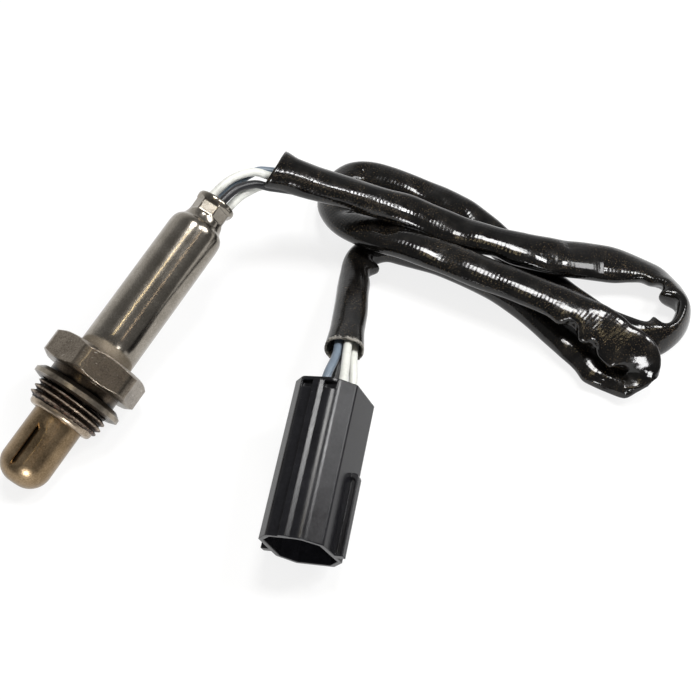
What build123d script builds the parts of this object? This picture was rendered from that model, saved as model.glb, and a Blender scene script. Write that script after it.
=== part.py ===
from build123d import *
from math import asin, atan2, cos, degrees, hypot, pi, radians, sin, sqrt, tan
import os

os.makedirs("parts", exist_ok=True)

# Heated four-wire exhaust oxygen sensor with its sleeved lead and connector.
# Millimetres, +Z up. The sensor points along +X from its tip to its crimped neck,
# and rests on the gasket's edge and on the shield's rounded end.
# Stations along the sensor are measured from the underside of the hexagon,
# positive towards the wires. Angles round it are measured from the top towards -Y.

# ---- shell of the sensor ----
hex_across_flats = 22.0
hex_corner_radius = 12.1        # the corners are turned off to this radius
hex_height = 6.65
hex_chamfer_angle = 30.0
hex_turn = 8.8
neck_radius = 8.4               # neck between hexagon and gasket
neck_end = -2.2
relief_radius = 8.0             # groove that traps the gasket
thread_radius = 9.0             # M18 x 1.5, made at its major radius
thread_start = -4.8
thread_end = -9.2
thread_chamfer = 0.7
collar_radius = 7.9             # rolled lip that holds the shields
collar_end = -10.7
collar_rounding = 1.0
collar_lip = 0.8
boss_end = 15.8
boss_rounding = 0.6
bore_radius = 5.2
lower_bore_radius = 4.0
seat_bottom = -2.2              # 45 degree seat for the sensing thimble
boss_lip = 1.2
boss_lip_radius = 4.6

# ---- gasket ----
gasket_radius = 11.0
gasket_edge = -3.7              # middle of the rounded edge
gasket_edge_radius = 0.5
gasket_crown_radius = 9.7
gasket_foot_radius = 9.6
gasket_bottom = -4.7

# ---- shields ----
shield_radius = 6.0
shield_wall = 0.4
shield_end_radius = 5.0
shield_tip = -27.3
shield_flange = 0.8
louvre_count = 3
louvre_start = -13.3
louvre_end = -24.8
louvre_turn = -4.5              # angle of the first slit
louvre_spread = 28.0            # angle from the slit to the fold
louvre_drop = 0.9               # depth of the slit's edge below the shield
louvre_start_ramp = 1.8         # length of the sloped end near the shell
louvre_end_ramp = 1.5           # and of the one that runs onto the rounded tip
inner_shield_radius = 4.5
inner_shield_wall = 0.35
inner_shield_end_radius = 1.5
inner_shield_tip = -24.0
inner_shield_hole = 0.8
inner_shield_hole_count = 6
inner_shield_hole_stations = (-14.5, -20.0)

# ---- rear tube and crimped neck ----
tube_radius = 6.68
tube_wall = 0.5
tube_end = 45.1
tube_rounding = 1.2
crimp_foot_radius = 4.6
crimp_foot = tube_end + 0.4
crimp_foot_rounding = 1.0
crimp_waist_radius = 4.5
crimp_waist = tube_end + 3.3
crimp_bore_radius = 3.8
rim_radius = 4.85
rim_end = tube_end + 7.0
rim_rounding = 0.45
dent_count = 8
dent_turn = 12.0
dent_radius = 4.12              # distance of each dent's floor from the axis
dent_width = 2.6
dent_length = 3.3
dent_middle = crimp_waist + 0.5
dent_slope = 22.0

# ---- sensing element and the stack that holds it ----
fit_gap = 0.08                  # radial room between pieces that slide together
seat_ring_thickness = 0.3
seat_ring_inner_radius = 4.1
thimble_radius = 2.9
thimble_tip = -21.0
thimble_tip_rounding = 2.4
thimble_bore_radius = 1.65
thimble_bore_tip = -19.5
thimble_waist_radius = 3.6
thimble_shoulder_end = 3.0
thimble_end = 19.0
thimble_counterbore_radius = 2.6
thimble_counterbore = 12.0
heater_radius = 1.5
heater_end = 25.5
powder_end = 8.0
bush_end = 13.4
contact_wall = 0.35
contact_flange = 3.3
centre_contact_end = 22.2
clip_end = 21.8
spacer_end = 22.0
spring_end = 24.0
spring_wall = 0.5
spring_inner_radius = 4.3
holder_end = 36.0
terminal_blade_radius = 0.45
terminal_blade_start = 22.5
terminal_barrel_radius = 1.05
terminal_barrel_end = 41.5
grommet_start = tube_end - 1.1
grommet_flange_radius = 4.9
grommet_end = rim_end - 0.5

# ---- wires and sleeve ----
wire_radius = 1.0
wire_circle_radius = 2.35       # circle of the wires where they leave the sensor
wire_turn = 38.0
wire_gap = 0.06                 # radial room of a wire in its hole
wire_names = ("black", "white_1", "grey", "white_2")
plug_names = ("black", "white_1", "white_2", "grey")
bundle_circle_radius = 1.62     # circle of the wires inside the sleeve
front_bundle_turn = 72.0
front_bundle_shift = 0.66       # the bundle lies to one side of the sleeve's mouth
front_shift_turn = 124.0
front_straight = 2.6            # wire that leaves the rim before it bends
front_middle = (50.0, -2.5, 26.2)
front_middle_share = 0.6        # the bundle has closed this far at its middle point
front_lead_in = 2.2             # straight wire before the sleeve
rear_bundle_turn = 150.0
rear_straight = 2.8
rear_lead_in = 3.2
sleeve_radius = 3.3
sleeve_route = [
    (54.0, -6.3, 25.5),
    (58.7, -14.7, 22.5),
    (64.7, -24.7, 17.0),
    (71.9, -39.3, 10.9),
    (75.9, -56.0, 10.5),
    (79.6, -69.2, 10.2),
    (88.4, -79.5, 4.8),
    (92.7, -87.6, 3.5),
    (92.9, -96.6, 3.4),
    (87.3, -103.0, 3.4),
    (78.6, -103.8, 3.4),
    (73.6, -98.0, 3.4),
    (73.2, -86.4, 3.4),
    (77.7, -66.2, 3.4),
    (84.4, -41.8, 3.4),
    (83.2, -23.4, 3.4),
    (79.6, -13.2, 3.5),
    (73.6, -9.9, 3.9),
    (66.7, -12.4, 5.3),
    (61.3, -19.9, 8.1),
    (59.9, -28.6, 10.6),
    (63.1, -40.7, 10.6),
    (65.9, -60.7, 10.5),
    (68.1, -79.6, 10.7),
    (65.9, -88.9, 12.4),
    (65.5, -98.2, 16.4),
    (64.5, -103.7, 13.6),
    (61.9, -105.4, 8.2),
    (60.2, -101.5, 3.5),
    (62.7, -88.9, 3.4),
    (67.9, -68.3, 3.4),
    (68.4, -48.5, 3.4),
    (65.4, -37.2, 3.4),
    (64.0, -31.2, 3.5),
    (57.5, -27.6, 3.6),
    (47.8, -32.5, 6.2),
    (36.9, -38.8, 10.4),
    (26.1, -44.4, 14.0),
]
arc_share = 0.45                # share of the shorter run that an arc takes up

# ---- connector ----
housing_length = 36.0
housing_top_left = 4.2          # the top's corners, left and right of the rib
housing_top_right = 3.2
left_shoulder_reach = 7.15
left_shoulder_drop = 3.15
right_shoulder_reach = 7.3
right_shoulder_drop = 3.6
housing_side_half = 7.7
housing_side_drop = 14.7
housing_bottom_half = 4.4
housing_height = 18.7
top_left_rounding = 1.8
top_right_rounding = 4.5
shoulder_rounding = 1.0
side_rounding = 1.2
bottom_rounding = 0.6
hood_wall = 1.0
hood_depth = 17.5
rib_left = -1.35                # upright left side of the rib
rib_right = 0.25                # from here its right side slopes down
rib_foot = 1.05
rib_height = 0.6
rib_root = 0.4                  # depth to which the rib's section is carried down
back_lip = 0.75
recess_length = 1.7
recess_depth = 1.1
recess_left = -4.1
recess_right = 3.7
rail_reach = 1.65
rail_top_drop = 9.8
rail_bottom_drop = 11.6
rail_lip = 0.6                  # lip along the channel in the rail's top
rail_channel_depth = 0.8
rail_channel_end = 17.3
rail_front = 0.6                # wall that closes the channel at the mouth
rail_end = 18.3
rail_root = 1.5                 # the rails start this far inside the sides
rail_rounding = 1.2
connector_turn = -67.4          # about the vertical, from pointing along +Y
connector_pitch = 8.0           # the wires lift its back end
connector_roll = -16.8
mouth_x = -20.6
mouth_y = -61.5
pin_spacing_across = 4.6
pin_spacing_up = 5.4
pin_middle_drop = 9.6
pin_width = 2.3
pin_thickness = 0.8
pin_reach = 9.0
pin_barrel_radius = 1.3
pin_barrel_start = 26.0
pin_barrel_end = 30.0
seal_bore_radius = 2.15
seal_start = 31.0
seal_end = 35.6
lock_width = 11.0
lock_height = 11.6
lock_thickness = 1.6
lock_rounding = 0.8

# ---- frame of the sensor: it leans on two circles that touch the ground ----
gasket_circle_radius = gasket_radius - gasket_edge_radius
shield_circle_radius = shield_radius - shield_end_radius
lean_rise = gasket_circle_radius - shield_circle_radius
lean_run = gasket_edge - (shield_tip + shield_end_radius)
tilt = atan2(lean_rise, lean_run) - asin(
    (shield_end_radius - gasket_edge_radius) / hypot(lean_run, lean_rise)
)
seat_height = gasket_circle_radius * cos(tilt) + gasket_edge_radius - gasket_edge * sin(tilt)
tip_reach = (
    (shield_tip + shield_end_radius) * cos(tilt)
    - shield_circle_radius * sin(tilt)
    - shield_end_radius
)
rim_reach = (
    (rim_end - rim_rounding) * cos(tilt)
    + (rim_radius - rim_rounding) * sin(tilt)
    + rim_rounding
)
seat_x = -(tip_reach + rim_reach) / 2
seat_point = Vector(seat_x, 0, seat_height)
axis_direction = Vector(cos(tilt), 0, sin(tilt))
top_direction = Vector(-sin(tilt), 0, cos(tilt))
side_direction = axis_direction.cross(top_direction)
sensor_axis = Axis(seat_point, axis_direction)
section_plane = Plane(
    origin=seat_point, x_dir=top_direction, z_dir=top_direction.cross(axis_direction)
)
print("sensor tilt", round(degrees(tilt), 2), "seat at", round(seat_x, 2), round(seat_height, 2))


def across(station, turn=0):
    """Plane square to the sensor at a station, its X turned from the top."""
    angle = radians(turn)
    return Plane(
        origin=seat_point + axis_direction * station,
        x_dir=top_direction * cos(angle) + side_direction * sin(angle),
        z_dir=axis_direction,
    )


def outward(radius, turn, station):
    """Plane that faces away from the sensor's axis, its X along the axis."""
    carrier = across(station, turn)
    return Plane(
        origin=carrier.origin + carrier.x_dir * radius,
        x_dir=axis_direction,
        z_dir=carrier.x_dir,
    )


def turned_profile(points, rounded=()):
    """Face of (radius, station) points on one side of the axis, some corners rounded."""
    with BuildSketch(section_plane) as profile:
        with BuildLine():
            Polyline(points, close=True)
        make_face()
        for corner, radius in rounded:
            fillet(profile.vertices().sort_by_distance(corner)[0], radius)
    return profile.sketch


def ring_profile(inner_radius, outer_radius, start, end):
    """Rectangle that revolves into a plain ring."""
    return turned_profile(
        [(inner_radius, start), (outer_radius, start), (outer_radius, end), (inner_radius, end)]
    )


# ---- shell: hexagon, gasket shoulder, thread, rolled collar and boss ----
boss_radius = tube_radius - tube_wall - fit_gap
chamfer_rise = (hex_corner_radius - hex_across_flats / 2 + 0.3) * tan(radians(hex_chamfer_angle))
chamfer_radius = hex_across_flats / 2 - 0.3
shield_recess_radius = collar_radius - collar_lip
shield_flange_top = thread_end + 0.9
shield_flange_bottom = shield_flange_top - 2 * shield_flange

with BuildPart() as sensor_shell:
    with BuildSketch(across(0, hex_turn)):
        RegularPolygon(radius=hex_across_flats / 2, side_count=6, major_radius=False)
    extrude(amount=hex_height)
    blank = turned_profile(
        [
            (0, 0),
            (chamfer_radius, 0),
            (hex_corner_radius, chamfer_rise),
            (hex_corner_radius, hex_height - chamfer_rise),
            (chamfer_radius, hex_height),
            (0, hex_height),
        ]
    )
    revolve(blank, axis=sensor_axis, mode=Mode.INTERSECT)
    core = turned_profile(
        [
            (0, boss_end),
            (boss_radius, boss_end),
            (boss_radius, hex_height / 2),
            (neck_radius, hex_height / 2),
            (neck_radius, neck_end),
            (relief_radius, neck_end),
            (relief_radius, thread_start),
            (thread_radius - thread_chamfer, thread_start),
            (thread_radius, thread_start - thread_chamfer),
            (thread_radius, thread_end + thread_chamfer),
            (thread_radius - thread_chamfer, thread_end),
            (collar_radius, thread_end),
            (collar_radius, collar_end),
            (0, collar_end),
        ],
        rounded=[
            ((boss_radius, boss_end), boss_rounding),
            ((collar_radius, collar_end), collar_rounding),
        ],
    )
    revolve(core, axis=sensor_axis)
    bore = turned_profile(
        [
            (0, boss_end),
            (boss_lip_radius, boss_end),
            (boss_lip_radius, boss_end - boss_lip),
            (bore_radius, boss_end - boss_lip),
            (bore_radius, seat_bottom + bore_radius - lower_bore_radius),
            (lower_bore_radius, seat_bottom),
            (lower_bore_radius, shield_flange_top),
            (shield_recess_radius, shield_flange_top),
            (shield_recess_radius, shield_flange_bottom),
            (shield_radius + fit_gap, shield_flange_bottom),
            (shield_radius + fit_gap, collar_end),
            (0, collar_end),
        ]
    )
    revolve(bore, axis=sensor_axis, mode=Mode.SUBTRACT)
sensor_shell.part.label = "sensor_shell"
export_step(sensor_shell.part, "parts/sensor_shell.step")

# ---- crush gasket, trapped in the groove under the shoulder ----
with BuildPart() as gasket:
    section = turned_profile(
        [
            (relief_radius + fit_gap, neck_end),
            (gasket_crown_radius, neck_end),
            (gasket_radius, gasket_edge + gasket_edge_radius),
            (gasket_radius, gasket_edge - gasket_edge_radius),
            (gasket_foot_radius, gasket_bottom),
            (relief_radius + fit_gap, gasket_bottom),
        ]
    )
    revolve(section, axis=sensor_axis)
    with BuildSketch(section_plane):
        with Locations((gasket_circle_radius, gasket_edge)):
            Circle(gasket_edge_radius)
    revolve(axis=sensor_axis)
gasket.part.label = "gasket"
export_step(gasket.part, "parts/gasket.step")

# ---- outer shield with pressed louvres ----
shield_bore_radius = shield_radius - shield_wall
outer_flange_top = shield_flange_top - shield_flange
flange_radius = shield_recess_radius - fit_gap
louvre_overlap = 0.2            # the flap's ends and fold reach this far into the wall
louvre_pitch = 360 / louvre_count


def on_circle(radius, turn):
    """Point of a section plane at a radius and an angle."""
    return (radius * cos(radians(turn)), radius * sin(radians(turn)))


def shield_radius_at(station):
    """Radius of the shield, smaller where a station lies on its rounded end."""
    past_edge = max(shield_tip + shield_end_radius - station, 0)
    return shield_circle_radius + sqrt(shield_end_radius**2 - past_edge**2)


def louvre_section(station, slit_turn, drop):
    """Wall of a louvre at a station, its slit side pressed in by the drop."""
    middle_turn = louvre_spread / 2
    outer_radius = shield_radius_at(station)
    inner_radius = outer_radius - shield_wall
    with BuildSketch(across(station, slit_turn)) as section:
        with BuildLine():
            Polyline(
                on_circle(inner_radius - drop, 0),
                on_circle(outer_radius - drop, 0),
                on_circle(outer_radius - drop / 2, middle_turn),
                on_circle(outer_radius, louvre_spread),
                on_circle(inner_radius, louvre_spread),
                on_circle(inner_radius - drop / 2, middle_turn),
                close=True,
            )
        make_face()
    return section.sketch


with BuildPart() as outer_shield:
    cup = turned_profile(
        [
            (0, shield_tip),
            (shield_radius, shield_tip),
            (shield_radius, shield_flange_bottom),
            (flange_radius, shield_flange_bottom),
            (flange_radius, outer_flange_top),
            (0, outer_flange_top),
        ],
        rounded=[((shield_radius, shield_tip), shield_end_radius)],
    )
    revolve(cup, axis=sensor_axis)
    hollow = turned_profile(
        [
            (0, shield_tip + shield_wall),
            (shield_bore_radius, shield_tip + shield_wall),
            (shield_bore_radius, outer_flange_top),
            (0, outer_flange_top),
        ],
        rounded=[
            (
                (shield_bore_radius, shield_tip + shield_wall),
                shield_end_radius - shield_wall,
            )
        ],
    )
    revolve(hollow, axis=sensor_axis, mode=Mode.SUBTRACT)
    for number in range(louvre_count):
        slit_turn = louvre_turn + number * louvre_pitch
        with BuildSketch(across(louvre_end, slit_turn)):
            with BuildLine():
                Polyline(
                    (0, 0),
                    on_circle(2 * shield_radius, 0),
                    on_circle(2 * shield_radius, louvre_spread),
                    close=True,
                )
            make_face()
        extrude(amount=louvre_start - louvre_end, mode=Mode.SUBTRACT)
        loft(
            [
                louvre_section(louvre_start + louvre_overlap, slit_turn, 0),
                louvre_section(louvre_start, slit_turn, 0),
                louvre_section(louvre_start - louvre_start_ramp, slit_turn, louvre_drop),
                louvre_section(louvre_end + louvre_end_ramp, slit_turn, louvre_drop),
                louvre_section(louvre_end, slit_turn, 0),
            ],
            ruled=True,
        )
outer_shield.part.label = "outer_shield"
export_step(outer_shield.part, "parts/outer_shield.step")

# ---- inner shield with gas holes ----
inner_bore_radius = inner_shield_radius - inner_shield_wall

with BuildPart() as inner_shield:
    cup = turned_profile(
        [
            (0, inner_shield_tip),
            (inner_shield_radius, inner_shield_tip),
            (inner_shield_radius, outer_flange_top),
            (flange_radius, outer_flange_top),
            (flange_radius, shield_flange_top),
            (0, shield_flange_top),
        ],
        rounded=[((inner_shield_radius, inner_shield_tip), inner_shield_end_radius)],
    )
    revolve(cup, axis=sensor_axis)
    hollow = turned_profile(
        [
            (0, inner_shield_tip + inner_shield_wall),
            (inner_bore_radius, inner_shield_tip + inner_shield_wall),
            (inner_bore_radius, shield_flange_top),
            (0, shield_flange_top),
        ],
        rounded=[
            (
                (inner_bore_radius, inner_shield_tip + inner_shield_wall),
                inner_shield_end_radius - inner_shield_wall,
            )
        ],
    )
    revolve(hollow, axis=sensor_axis, mode=Mode.SUBTRACT)
    for station in inner_shield_hole_stations:
        for number in range(inner_shield_hole_count):
            hole_turn = (number + 0.5) * 360 / inner_shield_hole_count
            with BuildSketch(outward(inner_shield_radius, hole_turn, station)):
                Circle(inner_shield_hole)
            extrude(amount=2 * inner_shield_wall, both=True, mode=Mode.SUBTRACT)
inner_shield.part.label = "inner_shield"
export_step(inner_shield.part, "parts/inner_shield.step")

# ---- sensing thimble on its seat ring ----
seat_rise = seat_bottom - lower_bore_radius     # the seat's cone: station = radius + rise
ring_outer_radius = bore_radius - fit_gap
ring_top = seat_rise + seat_ring_thickness
thimble_shoulder_radius = ring_outer_radius

with BuildPart() as seat_ring:
    section = turned_profile(
        [
            (seat_ring_inner_radius, seat_ring_inner_radius + seat_rise),
            (ring_outer_radius, ring_outer_radius + seat_rise),
            (ring_outer_radius, ring_outer_radius + ring_top),
            (seat_ring_inner_radius, seat_ring_inner_radius + ring_top),
        ]
    )
    revolve(section, axis=sensor_axis)
seat_ring.part.label = "seat_ring"
export_step(seat_ring.part, "parts/seat_ring.step")

with BuildPart() as sensing_thimble:
    body = turned_profile(
        [
            (0, thimble_tip),
            (thimble_radius, thimble_tip),
            (thimble_waist_radius, thimble_waist_radius + ring_top),
            (thimble_shoulder_radius, thimble_shoulder_radius + ring_top),
            (thimble_shoulder_radius, thimble_shoulder_end),
            (thimble_waist_radius, thimble_shoulder_end),
            (thimble_waist_radius, thimble_end),
            (0, thimble_end),
        ],
        rounded=[((thimble_radius, thimble_tip), thimble_tip_rounding)],
    )
    revolve(body, axis=sensor_axis)
    bore = turned_profile(
        [
            (0, thimble_bore_tip),
            (thimble_bore_radius, thimble_bore_tip),
            (thimble_bore_radius, thimble_counterbore),
            (thimble_counterbore_radius, thimble_counterbore),
            (thimble_counterbore_radius, thimble_end),
            (0, thimble_end),
        ]
    )
    revolve(bore, axis=sensor_axis, mode=Mode.SUBTRACT)
sensing_thimble.part.label = "sensing_thimble"
export_step(sensing_thimble.part, "parts/sensing_thimble.step")

with BuildPart() as heater_rod:
    revolve(ring_profile(0, heater_radius, thimble_bore_tip, heater_end), axis=sensor_axis)
heater_rod.part.label = "heater_rod"
export_step(heater_rod.part, "parts/heater_rod.step")

# ---- seal stack between thimble and shell ----
stack_inner_radius = thimble_waist_radius + fit_gap
stack_outer_radius = bore_radius - fit_gap
packing_end = boss_end - boss_lip

with BuildPart() as powder_seal:
    revolve(
        ring_profile(stack_inner_radius, stack_outer_radius, thimble_shoulder_end, powder_end),
        axis=sensor_axis,
    )
powder_seal.part.label = "powder_seal"
export_step(powder_seal.part, "parts/powder_seal.step")

with BuildPart() as ceramic_bush:
    revolve(
        ring_profile(stack_inner_radius, stack_outer_radius, powder_end, bush_end),
        axis=sensor_axis,
    )
ceramic_bush.part.label = "ceramic_bush"
export_step(ceramic_bush.part, "parts/ceramic_bush.step")

with BuildPart() as packing_ring:
    revolve(
        ring_profile(stack_inner_radius, stack_outer_radius, bush_end, packing_end),
        axis=sensor_axis,
    )
packing_ring.part.label = "packing_ring"
export_step(packing_ring.part, "parts/packing_ring.step")

# ---- contacts of the thimble's two electrodes ----
centre_contact_radius = thimble_counterbore_radius - fit_gap
clip_radius = stack_inner_radius + contact_wall

with BuildPart() as centre_contact:
    section = turned_profile(
        [
            (centre_contact_radius - contact_wall, thimble_counterbore),
            (centre_contact_radius, thimble_counterbore),
            (centre_contact_radius, thimble_end),
            (contact_flange, thimble_end),
            (contact_flange, thimble_end + contact_wall),
            (centre_contact_radius, thimble_end + contact_wall),
            (centre_contact_radius, centre_contact_end),
            (centre_contact_radius - contact_wall, centre_contact_end),
        ]
    )
    revolve(section, axis=sensor_axis)
centre_contact.part.label = "centre_contact"
export_step(centre_contact.part, "parts/centre_contact.step")

with BuildPart() as outer_contact:
    revolve(
        ring_profile(stack_inner_radius, clip_radius, packing_end, clip_end), axis=sensor_axis
    )
outer_contact.part.label = "outer_contact"
export_step(outer_contact.part, "parts/outer_contact.step")

# ---- spacer, spring and ceramic holder inside the rear tube ----
tube_bore_radius = tube_radius - tube_wall
inner_fit_radius = tube_bore_radius - fit_gap

with BuildPart() as spacer_tube:
    revolve(
        ring_profile(inner_fit_radius - tube_wall, inner_fit_radius, boss_end, spacer_end),
        axis=sensor_axis,
    )
spacer_tube.part.label = "spacer_tube"
export_step(spacer_tube.part, "parts/spacer_tube.step")

with BuildPart() as disc_spring:
    section = turned_profile(
        [
            (inner_fit_radius, spacer_end),
            (inner_fit_radius, spacer_end + spring_wall),
            (spring_inner_radius, spring_end),
            (spring_inner_radius, spring_end - spring_wall),
        ]
    )
    revolve(section, axis=sensor_axis)
disc_spring.part.label = "disc_spring"
export_step(disc_spring.part, "parts/disc_spring.step")

with BuildPart() as contact_holder:
    with BuildSketch(across(spring_end, wire_turn)):
        Circle(inner_fit_radius)
        with PolarLocations(wire_circle_radius, len(wire_names)):
            Circle(terminal_blade_radius + fit_gap, mode=Mode.SUBTRACT)
    extrude(amount=holder_end - spring_end)
    with BuildSketch(across(spring_end)):
        Circle(heater_radius + fit_gap)
    extrude(amount=heater_end - spring_end, mode=Mode.SUBTRACT)
contact_holder.part.label = "contact_holder"
export_step(contact_holder.part, "parts/contact_holder.step")

# ---- terminals and grommet ----
wire_pitch = 360 / len(wire_names)


def at_wire(station, number):
    """Plane square to the sensor, centred on one wire."""
    carrier = across(station, wire_turn + number * wire_pitch)
    return Plane(
        origin=carrier.origin + carrier.x_dir * wire_circle_radius,
        x_dir=carrier.x_dir,
        z_dir=axis_direction,
    )


for number, wire_name in enumerate(wire_names):
    with BuildPart() as terminal:
        with BuildSketch(at_wire(terminal_blade_start, number)):
            Circle(terminal_blade_radius)
        extrude(amount=holder_end - terminal_blade_start)
        with BuildSketch(at_wire(holder_end, number)):
            Circle(terminal_barrel_radius)
        extrude(amount=terminal_barrel_end - holder_end)
    terminal.part.label = f"terminal_{wire_name}"
    export_step(terminal.part, f"parts/terminal_{wire_name}.step")

grommet_radius = crimp_bore_radius - fit_gap
grommet_flange_end = tube_end - tube_wall - fit_gap

with BuildPart() as grommet:
    body = turned_profile(
        [
            (0, grommet_start),
            (grommet_flange_radius, grommet_start),
            (grommet_flange_radius, grommet_flange_end),
            (grommet_radius, grommet_flange_end),
            (grommet_radius, grommet_end),
            (0, grommet_end),
        ]
    )
    revolve(body, axis=sensor_axis)
    for number in range(len(wire_names)):
        with BuildSketch(at_wire(grommet_start, number)):
            Circle(wire_radius + wire_gap)
        extrude(amount=grommet_end - grommet_start, mode=Mode.SUBTRACT)
grommet.part.label = "grommet"
export_step(grommet.part, "parts/grommet.step")

# ---- rear tube, drawn down to a neck that is crimped on the grommet ----
with BuildPart() as rear_tube:
    body = turned_profile(
        [
            (0, hex_height),
            (tube_radius, hex_height),
            (tube_radius, tube_end),
            (crimp_foot_radius, crimp_foot),
            (crimp_waist_radius, crimp_waist),
            (rim_radius, rim_end),
            (0, rim_end),
        ],
        rounded=[
            ((tube_radius, tube_end), tube_rounding),
            ((crimp_foot_radius, crimp_foot), crimp_foot_rounding),
            ((rim_radius, rim_end), rim_rounding),
        ],
    )
    revolve(body, axis=sensor_axis)
    hollow = turned_profile(
        [
            (0, hex_height),
            (tube_bore_radius, hex_height),
            (tube_bore_radius, tube_end - tube_wall),
            (crimp_bore_radius, tube_end - tube_wall),
            (crimp_bore_radius, rim_end),
            (0, rim_end),
        ],
        rounded=[((tube_bore_radius, tube_end - tube_wall), tube_rounding - tube_wall)],
    )
    revolve(hollow, axis=sensor_axis, mode=Mode.SUBTRACT)
    for number in range(dent_count):
        dent_angle = dent_turn + number * 360 / dent_count
        with BuildSketch(outward(dent_radius, dent_angle, dent_middle)):
            Rectangle(dent_length, dent_width)
        extrude(amount=1, taper=-dent_slope, mode=Mode.SUBTRACT)
rear_tube.part.label = "rear_tube"
export_step(rear_tube.part, "parts/rear_tube.step")

# ---- frame of the connector: its lower left edge rests on the ground at the mouth ----
def connector_vector(x, y, z):
    """Direction given in the connector's own frame: X right, Y back, Z up."""
    rolled = Vector(x, y, z).rotate(Axis.Y, connector_roll)
    return rolled.rotate(Axis.X, connector_pitch).rotate(Axis.Z, connector_turn)


right_direction = connector_vector(1, 0, 0)
back_direction = connector_vector(0, 1, 0)
up_direction = connector_vector(0, 0, 1)

corner = Vector(-housing_bottom_half, -housing_height)
along_bottom = Vector(1, 0)
along_side = Vector(
    housing_bottom_half - housing_side_half, housing_height - housing_side_drop
).normalized()
corner_angle = radians(along_bottom.get_angle(along_side))
corner_centre = corner + (along_bottom + along_side).normalized() * (
    bottom_rounding / sin(corner_angle / 2)
)
section_slope = hypot(right_direction.Z, up_direction.Z)
mouth_z = (
    bottom_rounding * section_slope
    - corner_centre.X * right_direction.Z
    - corner_centre.Y * up_direction.Z
)
mouth_point = Vector(mouth_x, mouth_y, mouth_z)


def connector_point(right, up, back):
    """Point in the connector's frame, measured from the top edge of its mouth."""
    offset = right_direction * right + up_direction * up + back_direction * back
    return mouth_point + offset


def connector_section(back):
    """Plane square to the connector; it faces forwards, out of the mouth."""
    return Plane(
        origin=connector_point(0, 0, back), x_dir=right_direction, z_dir=-back_direction
    )


def housing_outline(inset):
    """Eight-sided outline of the housing at its mouth, moved inwards by the inset."""
    corners = [
        ((-housing_top_left, 0), top_left_rounding),
        ((housing_top_right, 0), top_right_rounding),
        ((right_shoulder_reach, -right_shoulder_drop), shoulder_rounding),
        ((housing_side_half, -housing_side_drop), side_rounding),
        ((housing_bottom_half, -housing_height), bottom_rounding),
        ((-housing_bottom_half, -housing_height), bottom_rounding),
        ((-housing_side_half, -housing_side_drop), side_rounding),
        ((-left_shoulder_reach, -left_shoulder_drop), shoulder_rounding),
    ]
    with BuildSketch(connector_section(0)) as outline:
        with BuildLine():
            Polyline([place for place, rounding in corners], close=True)
        make_face()
        for place, rounding in corners:
            fillet(outline.vertices().sort_by_distance(place)[0], rounding)
        if inset > 0:
            offset(amount=-inset, mode=Mode.REPLACE)
    return outline.sketch


pin_places = [
    (side * pin_spacing_across / 2, level * pin_spacing_up / 2 - pin_middle_drop)
    for side, level in ((-1, -1), (1, -1), (1, 1), (-1, 1))
]


# ---- moulded connector housing ----
lip_start = housing_length - back_lip
recess_middle = lip_start - recess_length / 2
rail_inner = housing_side_half - rail_root
rail_outer = housing_side_half + rail_reach


def connector_top(drop):
    """Plane that faces up out of the housing; its X runs right and its Y back."""
    return Plane(
        origin=connector_point(0, -drop, 0), x_dir=right_direction, z_dir=up_direction
    )


def rail_outline(side, reach, start, end):
    """Strip along one side of the housing, its outer rear corner rounded."""
    with BuildSketch(connector_top(rail_top_drop)) as outline:
        with BuildLine():
            Polyline(
                (side * rail_inner, start),
                (side * reach, start),
                (side * reach, end),
                (side * rail_inner, end),
                close=True,
            )
        make_face()
        fillet(outline.vertices().sort_by_distance((side * reach, end))[0], rail_rounding)
    return outline.sketch


with BuildPart() as connector_housing:
    for side in (-1, 1):
        extrude(
            rail_outline(side, rail_outer, 0, rail_end), amount=rail_top_drop - rail_bottom_drop
        )
        extrude(
            rail_outline(side, rail_outer - rail_lip, rail_front, rail_channel_end),
            amount=-rail_channel_depth,
            mode=Mode.SUBTRACT,
        )
    extrude(housing_outline(0), amount=-housing_length)
    with BuildSketch(connector_section(0)):
        with BuildLine():
            Polyline(
                (rib_left, -rib_root),
                (rib_left, rib_height),
                (rib_right, rib_height),
                (rib_foot, 0),
                (rib_foot, -rib_root),
                close=True,
            )
        make_face()
    extrude(amount=-lip_start)
    with BuildSketch(connector_top(0)):
        for start, end in ((recess_left, rib_left), (rib_foot, recess_right)):
            with Locations(((start + end) / 2, recess_middle)):
                Rectangle(end - start, recess_length)
    extrude(amount=-recess_depth, mode=Mode.SUBTRACT)
    extrude(housing_outline(hood_wall), amount=-hood_depth, mode=Mode.SUBTRACT)
    with BuildSketch(connector_section(hood_depth)):
        with Locations(pin_places):
            Rectangle(pin_width + 2 * fit_gap, pin_thickness + 2 * fit_gap)
    extrude(amount=hood_depth - pin_barrel_start, mode=Mode.SUBTRACT)
    with BuildSketch(connector_section(pin_barrel_start)):
        with Locations(pin_places):
            Circle(pin_barrel_radius + fit_gap)
    extrude(amount=pin_barrel_start - seal_start, mode=Mode.SUBTRACT)
    with BuildSketch(connector_section(seal_start)):
        with Locations(pin_places):
            Circle(seal_bore_radius)
    extrude(amount=seal_start - housing_length, mode=Mode.SUBTRACT)
connector_housing.part.label = "connector_housing"
export_step(connector_housing.part, "parts/connector_housing.step")

# ---- plate that locks the pins, on the floor of the hood ----
with BuildPart() as pin_lock:
    with BuildSketch(connector_section(hood_depth)):
        with Locations((0, -pin_middle_drop)):
            RectangleRounded(lock_width, lock_height, lock_rounding)
        with Locations(pin_places):
            Rectangle(
                pin_width + 2 * fit_gap, pin_thickness + 2 * fit_gap, mode=Mode.SUBTRACT
            )
    extrude(amount=lock_thickness)
pin_lock.part.label = "pin_lock"
export_step(pin_lock.part, "parts/pin_lock.step")

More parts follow.
